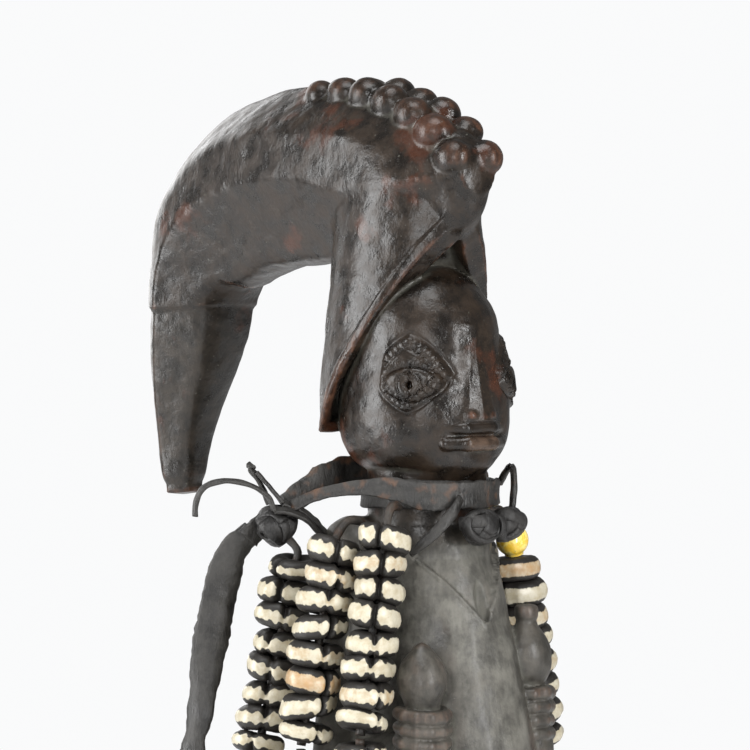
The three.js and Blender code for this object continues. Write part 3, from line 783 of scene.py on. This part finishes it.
def prow(x, y, z):
    edge = -18.4 - (z - 318) * 0.13
    wedge = np.abs(x) * 0.72 - (y - edge) * 0.69
    limits = np.maximum(np.maximum(np.abs(x) - 13, y), np.abs(z - 321.5) - 8.5)
    return np.maximum(np.maximum(wedge, limits), -behind_rim(y, z))


def head_at(x, y, z):
    d = hood_shape(x, y, z)
    d = Carving.combined("add", d, prow(x, y, z), 1.5)
    return Carving.combined("cut", d, hood_hollow(x, y, z), 0.5)


figure.add(head_at, (-28, -23, 257), (28, 39, 338), blend=0.3)

# The hook: [y, z, half width, crest, keel, upper ridge, lower ridge, softness of the upper ridge].
HOOK = [
    [-21, 335, 7, 6, 6, 1, 0, 5],
    [-13, 335.5, 13, 11.5, 13, 2, -2, 6],
    [0, 336, 17, 18, 20, 3, -5.5, 3],
    [20, 336, 18.7, 24, 27, 9.6, -6, 1.2],
    [45, 335.5, 19.7, 26.5, 27.5, 12, -2, 1.0],
    [71.5, 333, 20, 27.5, 27, 13.5, -1, 1.0],
    [93.5, 327, 20, 27.5, 26.5, 13.5, -1, 1.4],
    [109.5, 317, 20, 25, 24, 11, -0.5, 2.5],
    [117.5, 303, 19, 19.5, 19, 8, 0, 3],
    [121, 288, 18, 18, 18, 7, 0, 3],
    [124.5, 277, 16, 16.5, 16.5, 6.5, 0, 3],
    [127.3, 266, 13.8, 14, 14, 5, 0, 3],
    [129, 256, 11.5, 11.5, 11.5, 4, 0, 2.5],
    [130, 246, 9.7, 9.7, 9.7, 4, 0, 2],
    [130, 240, 8.9, 8.9, 8.9, 3.5, 0, 2],
    [129.8, 237, 7.4, 7.4, 7.4, 3, 0, 2],
]
hook_rows = spline(HOOK, 170)
hook_line = hook_rows[:, :2]
hook_along = unit(np.gradient(hook_line, axis=0))
hook_out = np.stack([-hook_along[:, 1], hook_along[:, 0]], 1)
hook_step = np.linalg.norm(np.diff(hook_line, axis=0), axis=1).mean()
LIP_HEIGHT = 294.5  # below this the hook's end is carved a little smaller


def soft_max(a, b, k):
    return -Carving.combined("add", -a, -b, k)


def hook_shape(x, y, z):
    y, z = np.broadcast_arrays(y, z)
    flat = np.stack([y.ravel(), z.ravel()], 1)
    near = np.concatenate(
        [
            ((hook_line**2).sum(1) - 2 * part @ hook_line.T).argmin(1)
            for part in np.array_split(flat, max(1, len(flat) // 20000))
        ]
    )
    off = flat - hook_line[near]
    ahead = (off * hook_along[near]).sum(1)
    n = (off * hook_out[near]).sum(1).reshape(y.shape)
    at = near + np.clip(ahead / hook_step, -0.5, 0.5)
    past = (np.abs(ahead) - hook_step * 0.5) * ((near == 0) | (near == len(hook_line) - 1))
    past = np.maximum(past, 0).reshape(y.shape)
    w, c, k, upper, lower, soft = (
        np.interp(at, np.arange(len(hook_rows)), hook_rows[:, i]).reshape(y.shape) for i in range(2, 8)
    )
    inset = 0.9 * step_up(LIP_HEIGHT + 0.8, LIP_HEIGHT - 0.8, z + 0.006 * x**2) * (y > 60)
    x = np.abs(x)
    bulge = (c - upper) / (0.88 * w) ** 1.5
    top = (n - c + bulge * x**1.5) / np.sqrt(1 + (1.5 * bulge * np.minimum(x, w) ** 0.5) ** 2)
    facet = x - w + 0.12 * w * (n - lower) / np.maximum(upper - lower, 1)
    under = (x - w - 0.5 * (n - lower)) / 1.12
    q = np.sqrt((x / (1.06 * w)) ** 2 + (n / k) ** 2)
    hull = (q - 1) * np.minimum(w, k) * 0.97
    hull = np.where(n < 0, hull, -9.0)
    d = soft_max(top, facet, soft)
    d = soft_max(d, under, 0.7)
    d = soft_max(d, hull, 1.5)
    return np.maximum(d, past - 3 + 0.1 * d) + inset


figure.add(hook_shape, (-21, -25, 230), (21, 143, 366), blend=0.6)

egg_on((0, -15.0, 332), (8.2, 10.2, 15), 2.5)  # the crest's front runs down into the prow

CREST_BUMPS = [[-20, 342.5], [-11, 350], [0, 355.5], [11, 359], [22, 361.5], [34, 362.5], [46, 362]]
rng = np.random.default_rng(4)
for n, (y, z) in enumerate(CREST_BUMPS):
    for side in (-1, 1):
        swell = rng.uniform(0.93, 1.07) * (1.06 if n < 5 else 0.93)
        centre = (4.7 * side, y - side, z - 3.7)
        egg_on(centre, np.array([5.0, 6.1, 4.9]) * swell, 0.9)

# The nose, its wings, and the lips, which are two rolls.


def nose(x, y, z):
    """A narrow wedge that grows out of the brow, with small wings."""
    down = np.clip((288 - z) / 24, 0, 1)
    half = 1.4 + 2.6 * down**1.5
    front = -22.6 - 4.9 * down**1.1
    slant = (np.abs(x) - half) * 0.55 + (front - y) * 0.62
    return np.maximum(np.maximum(slant, front - y + 0.25 * np.abs(x) - 0.3), np.maximum(262.6 - z, z - 290))


figure.add(nose, (-6, -29, 262), (6, -14, 290), blend=1.6)
for side in (-1, 1):
    egg_on((3.4 * side, -25.0, 264.4), (2.0, 2.4, 1.7), 0.8)

for height, front, thick in ((260.7, -25.0, 1.9), (256.2, -25.6, 2.1)):
    back = front + 3.6
    corners = [(-9.6, back, height), (-4.6, front, height), (4.6, front, height), (9.6, back, height)]
    limb(corners, [thick] * 4, 0.5)


def neckline(x, y, z):
    """The chest lies a little lower inside a V."""
    inside = (z - 204.4 - 1.27 * np.abs(x)) / 1.62
    edge = 0.55 * np.exp(-((inside + 0.5) ** 2) / 0.3)
    return (edge - 1.5 * step_up(-0.3, 0.6, inside)) * step_up(228, 222, z) * (y < -4)


figure.emboss(neckline, (-19, -36, 200), (19, -4, 229))
figure.cut(*egg((0.8, -27.4, 213.0), (2.5, 4.6, 8.6)), blend=0.5)

EYE = np.array([18, -15.8, 274.0])
eye_out = unit([(EYE[0] - CHEEKS) / EGG[1][0] ** 2, (EYE[1] - EGG[0][1]) / EGG[1][1] ** 2, 0])
eye_in = np.array([eye_out[1], -eye_out[0], 0])  # along the face, towards the nose


def eye(x, y, z):
    """A raised lozenge with a hatched border round an almond with a drilled pupil."""
    x = np.abs(x)
    a = (x - EYE[0]) * eye_in[0] + (y - EYE[1]) * eye_in[1]
    b = z - EYE[2]
    a0, b0 = a + 1.0, b - 2.5
    q = ((np.abs(a0) / 11.8) ** 1.35 + (np.abs(b0) / 10.8) ** 1.35) ** (1 / 1.35)
    inside = (1 - q) * 9.0
    h = 1.5 * step_up(-0.5, 1.3, inside) - 0.3 * hill(inside, -0.7, 0.5)
    along = (np.abs(b0) / 10.8 - np.abs(a0) / 11.8 + 1) * 8.4  # along each side of the lozenge
    border = step_up(0.5, 0.9, inside) * step_up(3.0, 2.6, inside)
    h -= border * (0.1 + 0.42 * (0.5 + 0.5 * np.cos(along * 2 * np.pi / 2.1)))
    h -= 0.35 * hill(inside, 3.1, 0.4)
    q2 = (np.abs(a - 0.7) / 9.0) ** 1.7 + (np.abs(b + 0.6) / 4.7) ** 1.7
    h += 1.1 * np.sqrt(np.clip(1 - q2, 0, 1)) - 0.45 * hill(q2, 1.08, 0.13)
    h += 0.35 * hill(q2, 1.55, 0.22) * step_up(-1.5, 1.5, b)
    h -= 0.4 * hill(a, 0.1, 0.42) * step_up(6.5, 4.0, np.abs(b + 0.6))
    pupil = np.sqrt((a - 0.1) ** 2 + (b + 0.9) ** 2)
    h -= 2.4 * step_up(1.25, 0.75, pupil)
    h -= 0.25 * hill(pupil, 3.1, 0.35) * (np.abs(b + 0.9) < 3.4)
    return h * step_up(-6, -8, y)


figure.emboss(eye, (-27, -34, 260), (27, -4, 290))


def chips(x, y, z):
    """Broad, shallow unevenness left by the knife."""
    x, y, z = np.broadcast_arrays(x, y, z)
    p = np.stack([x, y, z], -1)
    return 0.16 * ripple(p, 17, 31) + 0.07 * ripple(p, 6, 32)


figure.emboss(chips, (-70, -60, 1), (70, 150, 370))


def box_blur(d, reach):
    for axis in range(3):
        size = 2 * reach + 1
        pad = [(0, 0)] * 3
        pad[axis] = (reach + 1, reach)
        total = np.cumsum(np.pad(d, pad, "edge"), axis=axis, dtype=np.float64)
        high = [slice(None)] * 3
        low = [slice(None)] * 3
        high[axis], low[axis] = slice(size, None), slice(None, -size)
        d = ((total[tuple(high)] - total[tuple(low)]) / size).astype(np.float32)
    return d


def sampled(grid, cell):
    """Values of a grid between its cells, at (n, 3) places counted in cells."""
    base = np.clip(np.floor(cell).astype(int), 0, np.array(grid.shape) - 2)
    t = cell - base
    total = 0
    for dx in (0, 1):
        for dy in (0, 1):
            for dz in (0, 1):
                share = np.prod(np.where([dx, dy, dz], t, 1 - t), axis=1)
                total = total + share * grid[base[:, 0] + dx, base[:, 1] + dy, base[:, 2] + dz]
    return total


def onto_surface(points, times=2, reach=1.2):
    """Moves points onto the carving's surface."""
    for _ in range(times):
        d = figure.at(points)
        h = 0.12
        slope = np.stack([figure.at(points + h * e) for e in np.eye(3)], 1) - d[:, None]
        slope /= h
        size = np.maximum((slope**2).sum(1), 0.2)
        points = points - np.clip(d / size, -reach, reach)[:, None] * slope
    return points


CELL = 0.95
axes = [np.arange(lo, hi, CELL) for lo, hi in ((-60, 60), (-50, 148), (-4, 370))]
carved = figure.grid(axes)
volume = openvdb.FloatGrid(30.0)
volume.copyFromArray(carved)
points, quads = volume.convertToQuads(isovalue=0.0)
points = points * CELL + [a[0] for a in axes]

mesh = bpy.data.meshes.new("rough")
mesh.from_pydata(points.tolist(), [], quads[:, ::-1].tolist())
shape_mesh = bmesh.new()
shape_mesh.from_mesh(mesh)

# Finer faces where the carving has fine detail.
HEAD = ((-28, -40, 246), (28, 26, 324))
HANDS, CHEST = ((-33, -44, 160), (33, -14, 210)), ((-18, -40, 199), (19, -14, 228))
REGIONS = [HEAD, HANDS, CHEST]
EYES_AND_MOUTH = [((-27, -40, 252), (27, -8, 289))]
for boxes in ((REGIONS, EYES_AND_MOUTH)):
    edges = set()
    for lo, hi in boxes:
        for face in shape_mesh.faces:
            c = face.calc_center_median()
            if all(l < v < h for l, v, h in zip(lo, c, hi)):
                edges.update(face.edges)
    bmesh.ops.subdivide_edges(shape_mesh, edges=list(edges), cuts=1, use_grid_fill=True)
shape_mesh.verts.index_update()
points = np.array([v.co for v in shape_mesh.verts])
faces = [tuple(v.index for v in f.verts) for f in shape_mesh.faces]
shape_mesh.free()

points = onto_surface(points)
cells = (points - [a[0] for a in axes]) / CELL
clipped = np.clip(carved, -8, 8)
near_blur = box_blur(clipped, max(1, round(2.0 / CELL)))
wide_blur = box_blur(clipped, max(1, round(5.0 / CELL)))
here = sampled(clipped, cells)
small = sampled(near_blur, cells) - here
broad = sampled(wide_blur, cells) - here
ridge = 0.75 * np.clip(small / np.quantile(small, 0.965), -1, 1.5)
ridge += 0.25 * np.clip(broad / np.quantile(broad, 0.9), -1, 1.5)
hollow = 0.75 * np.clip(small / np.quantile(small, 0.04), 0, 1.5)
hollow += 0.4 * np.clip(broad / np.quantile(broad, 0.08), 0, 1.5)
x, y, z = points.T
at_mouth = step_up(13, 10, np.abs(x)) * step_up(-18, -21, y)
at_mouth = at_mouth * step_up(252, 253.5, z) * step_up(264, 262.5, z)
ridge = ridge * (1 - 0.75 * at_mouth)
bright = 0.7 * at_mouth * step_up(8.5, 3.5, np.abs(x)) * step_up(259.5, 257.5, z) * step_up(-24.5, -26.5, y)
torso_share = step_up(244, 226, z) * step_up(20, 60, z) * (np.abs(x) < 40) * (y < 60)
dry = torso_share * (0.75 + 0.25 * step_up(0, -20, y)) + 0.55 * step_up(60, 0, z)
dry = np.maximum(dry, 0.12 * step_up(297, 290, z) * (y > 90))
neck_share = step_up(250, 246, z) * step_up(222, 230, z) * (np.hypot(x, y) < 20)
dry = dry * (1 - 0.8 * neck_share)
hands_share = step_up(-20, -25, y) * step_up(9, 13, np.abs(x)) * step_up(145, 160, z) * step_up(212, 206, z)
dry = dry * (1 - 0.55 * hands_share)
looks = {"ridge": ridge, "hollow": hollow, "dry": dry, "bright": bright}
make("carved_figure", [(points, faces)], WOOD, values=looks)


# ---- leather at the neck

band_middle, band_size = middle("neck_band_inner")
NECK = band_middle[2] - 1  # the height at which the thong is tied
OUTER_TURN = 20.8  # middle radius of the thong's second turn

around_neck = np.radians(range(0, 361, 10))
turn_points = [polar(math.degrees(t), 18.95, NECK + 1 + 0.5 * math.sin(2 * t)) for t in around_neck]
part, _ = ribbon(turn_points, band_size[2], 1.3, [(0, 0, 1)], 0, 21, cup=0.3, as_given=True)
make("neck_band_inner", [part], LEATHER)

edge = knot_size[0] / 2 + 0.4
LOOSE_TURN = [
    knot_middle + np.array([edge * 0.35, -edge * 0.75, edge * 0.95]),
    polar(166, OUTER_TURN + 13, NECK + 1),
    polar(180, OUTER_TURN + 4.5, NECK + 3),
    polar(205, OUTER_TURN + 0.5, NECK + 3),
    *[polar(angle, OUTER_TURN, NECK + 1) for angle in (230, 260, 290, 320, 350, 380, 410)],
    polar(80, OUTER_TURN + 0.5, NECK + 3),
    polar(105, OUTER_TURN + 1.5, NECK + 6),
    polar(128, OUTER_TURN + 6, NECK + 6),
    knot_middle + np.array([edge * 0.75, edge * 0.3, edge]),
]
turn_widths = [3.5, 3.6, 4.5, 7, 8.5, 8, 7.5, 7, 7.5, 8, 8, 8.5, 9.5, 9, 6]
turn_sides = [(0.3, 0, 0.95), (0.2, 0, 1), *[(0, 0, 1)] * 6, (0.1, 0.2, 1)]
part, _ = ribbon(LOOSE_TURN, turn_widths, 1.25, turn_sides, 150, 22, cup=0.5)
make("neck_band_loose_turn", [part], WORN)

# what runs on from the narrow ends over the knot, a strip that stands up beside the short one, and
# the strap's root
ON_FROM_LONG = [[-3.5, -4, 4.5], [0.5, -6.2, 4.2], [5, -7.2, 2.2], [9.5, -7, -1.2], [13.5, -6, -5]]
ON_FROM_SHORT = [[0.5, -2.5, 6.5], [4, -4, 5.2], [8, -5.2, 2.6], [12, -5.2, -0.8], [15.5, -5, -4.5]]
STANDING = [[-1.5, 2, 6.2], [-2.8, 2.4, 10], [-5, 3.2, 14.4], [-6.8, 3.9, 17], [-5.8, 3.7, 17.6]]
run_on = []
for path, widths, seed in (
    (ON_FROM_LONG, [3.2, 3.6, 3.8, 3.4], 33),
    (ON_FROM_SHORT, [3.4, 3.2, 3.4, 3.0], 35),
    (STANDING, [3.0, 3.4, 3.6, 3.6], 37),
):
    path = knot_middle + np.array(path)
    run_on.append(ribbon(path, widths, 1.1, [(0.5, 0.8, 0.3), (0.4, 0.8, 0.5)], 44, seed, cup=0.4)[0])
strap_root = knot_middle + np.array([[0, 0.6, 2.6], [-2.2, 2.4, 1.6], [-4.4, 4.3, -1.2], [-6.4, 5.8, -3.9]])
root_sides = [(0.9, -0.4, 0.1), (0.95, -0.3, 0.2)]
run_on.append(ribbon(strap_root, [4.4, 6.0, 7.2, 7.8], 1.5, root_sides, 30, 41, cup=0.35)[0])
make("shoulder_tail_roots", run_on, LEATHER)
SHOULDER_POLES = [(0.3, 0.2, 1), (1, 0.4, 0.3), (0.2, 1, 0.4), (0.7, -0.6, 0.5), (1, 0.1, -0.6)]
make("shoulder_knot", wound(knot_middle, knot_size / 2 * 0.94, 5, 4.6, 1.2, 31, SHOULDER_POLES), KNOTTED)

THROAT_POLES = [(0.1, 1, 0.25), (0.2, 0.9, -0.4), (0.1, 0.3, 1), (0.9, 0.2, 0.3)]
UP = np.array([0, 0, 1])


def throat_knot(name, angle, seed):
    """A thong knotted round a lace end, with the lace's rolled end showing at the outside."""
    centre, _ = middle(name)
    out, tangent = polar(angle, 1, 0), polar(angle + 90, 1, 0)
    parts = []
    for points, faces in wound((0, 0, 0), (4.1, 6.2, 4.5), 4, 3.6, 1.2, seed, THROAT_POLES):
        parts.append((points[:, :1] * out + points[:, 1:2] * tangent + points[:, 2:] * UP + centre, faces))
    coil = []
    for t in np.linspace(0, 4.4 * math.pi, 50):
        r = 0.6 + 0.19 * t
        across = tangent * (6.2 + 0.25 * math.cos(t)) + out * (r * math.cos(t) + 0.4)
        coil.append(centre + across + np.array([0, 0, r * math.sin(t)]))
    parts.append(ribbon(coil, 1.7, 0.75, [tangent], 60, seed + 3)[0])
    make(name, parts, KNOTTED)


throat_knot("throat_knot_near", 270, 41)
throat_knot("throat_knot_far", 305, 43)

throat_middle, throat_size = middle("throat_knot_near")
KNOTS_OUT = -throat_middle[1]
THROAT_STEPS = [  # degrees round the neck, how far past the knots, height from their middle
    (259, -2.6, 8.2),
    (254, -1.0, 5.8),
    (247, 0.2, 2.6),
    (238, 0.4, -1.5),
    (229, 0, -5),
    (222, -1.0, -7.5),
]
THROAT_TAIL = [polar(a, KNOTS_OUT + r, throat_middle[2] + z) for a, r, z in THROAT_STEPS]
part, _ = ribbon(THROAT_TAIL, [3.2, 3.4, 3.2, 2.6], 1.0, [(0.2, 0.1, 1), (0.4, 0.1, 1)], 40, 51, cup=0.3)
make("throat_tail", [part], LEATHER)

LOOP_OUT = OUTER_TURN + 0.8
THROAT_LOOP = [
    polar(340, LOOP_OUT + 0.8, NECK + 3),
    polar(335, LOOP_OUT + 1.8, NECK + 6),
    polar(328, LOOP_OUT + 3.2, NECK + 8.5),
    polar(318, LOOP_OUT + 4, NECK + 6),
    polar(311, LOOP_OUT + 4, throat_middle[2] + throat_size[2] / 2 + 1),
    polar(308, LOOP_OUT + 3.6, throat_middle[2] + throat_size[2] / 2 - 1.2),
]
part, _ = ribbon(THROAT_LOOP, 1.9, 1.2, [(0, 1, 0)], 40, 52)
make("throat_loop", [part], WORN)


# ---- the strings of shells

SHELL_WIDTH, SHELL_LENGTH, PITCH = 15, 18, 7.4
BORE = 1.75
SQUARENESS = 2.15  # of a shell's outline: 2 is an ellipse
AROUND, SECTIONS = ((60, 18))


def cut_shell(rng, notch_at, notch_share):
    """A shell with its back cut away, lying flat: a thick ring, longer than wide, with a slot that
    breaks its rim. Returns points, faces and the values that the shader reads."""
    spread = np.linspace(-np.pi, np.pi, AROUND, endpoint=False)
    phi = notch_at + spread - 0.6 * np.sin(spread)
    psi = np.linspace(0, 2 * np.pi, SECTIONS, endpoint=False)
    phi, psi = np.meshgrid(phi, psi, indexing="ij")
    long = SHELL_LENGTH / 2 * rng.uniform(0.88, 1.0)
    wide = SHELL_WIDTH / 2 * rng.uniform(0.93, 1.03)
    tall = PITCH / 2 * rng.uniform(0.97, 1.07)
    egg_share = rng.uniform(-0.06, 0.06)
    c, s = np.cos(phi), np.sin(phi)
    rim = ((np.abs(c) / long) ** SQUARENESS + (np.abs(s) / wide) ** SQUARENESS) ** (1 / SQUARENESS)
    rim = 1 / rim * (1 + egg_share * c)
    turn = np.angle(np.exp(1j * (phi - notch_at)))
    notch = np.abs(turn) * rim
    height, fat = np.sin(psi), np.cos(psi)
    reach = (rim - BORE) / 2
    r = BORE + reach + reach * fat
    # a slot may break the rim all the way, or only from above or below
    cut_here = 1.0 if abs(notch_share) == 1 else step_up(-0.25, 0.1, np.sign(notch_share) * height)
    slot = hill(notch, 0, 0.8) * cut_here
    far_side = hill((np.pi - np.abs(turn)) * rim, 0, 0.9)
    dents = 0.35 * np.cos(notch * 2.6) * hill(notch, 0, 5) * np.abs(height) ** 1.5
    outer = step_up(0, 0.6, fat)
    r = r - outer * (2.3 * slot + 0.9 * far_side + 0.5 * dents)
    z = tall * height * (1 - 0.25 * hill(notch, 0, 1.4) + 0.06 * dents)
    x, y = r * np.cos(phi), r * np.sin(phi)
    points = np.stack([x, y, z], -1)
    uneven = ripple(points.reshape(-1, 3), 7, int(rng.integers(1e6))).reshape(phi.shape)[..., None]
    points += 0.28 * uneven * unit(points + 1e-6)
    # painted shade: strongest where a shell meets its neighbours above and below, on its hidden inner side
    # and in the slot
    hidden = step_up(0.1, -0.6, fat)
    rise = np.abs(height) + hidden * 0.4 + slot * 0.25
    shown_notch = notch + 3 * (1 - cut_here) * step_up(2.5, 1.0, notch)
    mesh_points, mesh_faces = rings(points, closed=True)
    return mesh_points, mesh_faces, rise.ravel(), shown_notch.ravel()


def shells_on(name, start, down, out, count, rng, body, notches, grime):
    side = np.cross(down, out)
    parts, values = [], {"rise": [], "notch": [], "tone": [], "grime": []}
    for n in range(count):
        turn_to, share = notches[n % len(notches)]
        points, faces, rise, notch = cut_shell(rng, turn_to + rng.normal() * 0.12, share)
        lean, roll, yaw = rng.normal(size=3) * (0.07, 0.07, 0.1)
        cy, sy = math.cos(yaw), math.sin(yaw)
        x, y, z = points.T
        # thinner shells on both sides of the bend, and under the knot, leave the joints room
        if (name[-1], n) in (("2", count - 1), ("3", 0)) or (name == "right_back_shells_1" and n == 0):
            x, y, z = x * 0.96, y * 0.96, z * 0.78
        x, y = x * cy - y * sy, x * sy + y * cy
        z = z + x * lean + y * roll
        centre = start + down * (n + 0.5) * PITCH + out * rng.normal() * 0.35 + side * rng.normal() * 0.4
        placed = centre + x[:, None] * out + y[:, None] * side - z[:, None] * down
        parts.append((placed, faces))
        values["rise"] += list(rise)
        values["notch"] += list(notch)
        values["tone"] += [rng.uniform(0, 1)] * len(points)
        values["grime"] += [grime + rng.uniform(-0.07, 0.1)] * len(points)
    make(name, parts, SHELL, body, values)


def lace_tube(path, radius, count, seed):
    """A slightly squared, twisted lace."""
    rows = spline(path, count)
    along = unit(np.gradient(rows, axis=0))
    first = unit(np.cross(along, [0.3, 0.2, 1.0]))
    second = np.cross(along, first)
    angles = np.linspace(0, 2 * np.pi, 10, endpoint=False)
    thick = radius * (1 + 0.1 * ripple(rows, 4, seed))[:, None, None]
    twist = np.linspace(0, 0.8 * len(rows) / 6, len(rows))[:, None]
    square = 1 + 0.1 * np.cos(4 * (angles + twist))
    angles = angles[:, None]
    circle = np.cos(angles) * first[:, None] + np.sin(angles) * second[:, None]
    return rings(rows[:, None] + circle * thick * square[..., None])


UPPER_SHELLS = 4  # in each of the two upper runs
HALF_RUN = UPPER_SHELLS * PITCH / 2
BEAD_LENGTH = 9.1
LACE_RADIUS = 1.25
SLOT_KINDS = [1.0, 1.0, 0.5, -0.5]  # right through the rim, or only from above or below
STRINGS = {
    # name: how far round from the side that faces out the slots are turned, and how far the black of stain
    # and painted shade reaches
    "right_front": (-0.42, 0.0),
    "right_middle": (-1.05, 0.02),
    "right_back": (-0.8, 0.1),
    "left_front": (-0.5, 0.04),
    "left_middle": (0.3, 0.06),
    "left_back": (0.5, 0.1),
}
for index, (name, (slots, grime)) in enumerate(STRINGS.items()):
    rng = np.random.default_rng(100 + index)
    upper, lower = f"{name}_upper", f"{name}_lower"
    centres = [middle(f"{name}_shells_{n}")[0] for n in (1, 2, 3, 4)]
    upper_down = unit(centres[1] - centres[0])
    lower_down = unit(centres[3] - centres[2])
    lower_count = int(round((np.linalg.norm(centres[3] - centres[2]) - 0.5) / PITCH))
    place = unit([centres[0][0], centres[0][1], 0])
    for number, centre in enumerate(centres, 1):
        down = upper_down if number < 3 else lower_down
        count = UPPER_SHELLS if number < 3 else lower_count
        out = unit(place - down * (place @ down))
        # the slots wander round from shell to shell
        wander = slots - (0.0 if number == 1 else 0.35)
        notches = [
            (wander + 0.2 * math.sin(1.7 * n + index), SLOT_KINDS[int(rng.integers(4))])
            for n in range(count)
        ]
        if name == "right_front" and number == 1:
            notches = [(slots + turn, 1.0) for turn in (0, -0.05, 0.05, -0.1)]
        body = upper if number < 3 else lower
        start = centre - down * (count * PITCH / 2)
        shells_on(f"{name}_shells_{number}", start, down, out, count, rng, body, notches, grime)

    # the laces, which the shells hide except at their ends
    has_bead = name == "left_front"
    top = centres[0] - upper_down * HALF_RUN
    lace_top = top - upper_down * (BEAD_LENGTH if has_bead else 0)
    lace_middle, lace_size = middle(f"{name}_lace_upper")
    lo, hi = lace_middle - lace_size / 2, lace_middle + lace_size / 2
    bend = centres[1] + upper_down * (HALF_RUN + 0.5)
    hang_from = lace_top - upper_down * 1.0
    hang_out = np.linalg.norm(hang_from[:2])
    anchor = unit([lace_top[0], lace_top[1], 0])
    head_height = hi[2] - 1.2
    nearest = np.linalg.norm([min(abs(lo[0]), abs(hi[0])), min(abs(lo[1]), abs(hi[1]))])
    inner = max(min(nearest + 1.2, hang_out - 1), LOOP_OUT + 1.6)
    arch = [
        anchor * inner + np.array([0, 0, head_height - 0.6]),
        anchor * (inner * 0.45 + hang_out * 0.55) + np.array([0, 0, head_height]),
        hang_from,
        hang_from + upper_down * 6,
        bend,
    ]
    if name == "right_back":
        # this lace comes out of the shoulder knot
        halfway = knot_middle * 0.5 + hang_from * 0.5 + np.array([0, 0, 0.5])
        arch[:2] = [knot_middle + np.array([1.5, -3.0, -1.0]), halfway]
    parts = [lace_tube(arch, LACE_RADIUS, 60, 200 + index)]
    make(f"{name}_lace_upper", parts, LACE, upper)
    if has_bead:
        centre, size = middle(f"{name}_bead")
        r = size[2] / 2
        turns = np.linspace(0.06, np.pi - 0.06, 20)[:, None, None]
        around = np.linspace(0, 2 * np.pi, 32, endpoint=False)[None, :, None]
        out = unit(place - upper_down * (place @ upper_down))
        cross = np.cross(upper_down, out)
        wave = 1 + 0.05 * np.sin(3 * around + 1)
        girth = np.maximum(np.sin(turns), 0.5) ** 0.8 * (r * 1.05)
        grid = centre - np.cos(turns) * upper_down * r * 0.97
        grid = grid + girth * (np.cos(around) * out + np.sin(around) * cross) * wave
        make(f"{name}_bead", [rings(grid)], GLASS, upper)
    end = centres[3] + lower_down * (lower_count * PITCH / 2 + 0.3)
    lower_lace = [bend + lower_down * 1.0, centres[2], centres[3], end]
    parts = [lace_tube(lower_lace, LACE_RADIUS, 90, 220 + index)]
    make(f"{name}_lace_lower", parts, LACE, lower)
    centre, size = middle(f"{name}_end_knot")
    tail = centre + np.array([[0, 0, 0], [0.6, 0.3, -2.8], [1.4, -0.4, -6.2]])
    parts = wound(centre, size / 2, 3, 2.4, 1.0, 240 + index)
    parts.append(ribbon(tail, [1.8, 1.5, 1.2], 0.8, [(1, 0.2, 0)], 16, 260 + index)[0])
    make(f"{name}_end_knot", parts, KNOTTED, lower)

    # on the left, a hitch of the same lace round the thong, above the string
    if name.startswith("left"):
        spot = anchor * (LOOP_OUT - 0.2)
        loop = [
            spot + anchor * 1.9 * math.cos(t) + np.array([0, 0, NECK + 1 + 5.4 * math.sin(t)])
            for t in np.linspace(0, 2 * np.pi, 17)
        ]
        sideways = np.cross(anchor, UP)
        parts = [lace_tube(loop + sideways * shift, 1.0, 40, 280 + index) for shift in (-1.1, 1.1)]
        make(f"{name}_hitch", parts, LACE, "root")
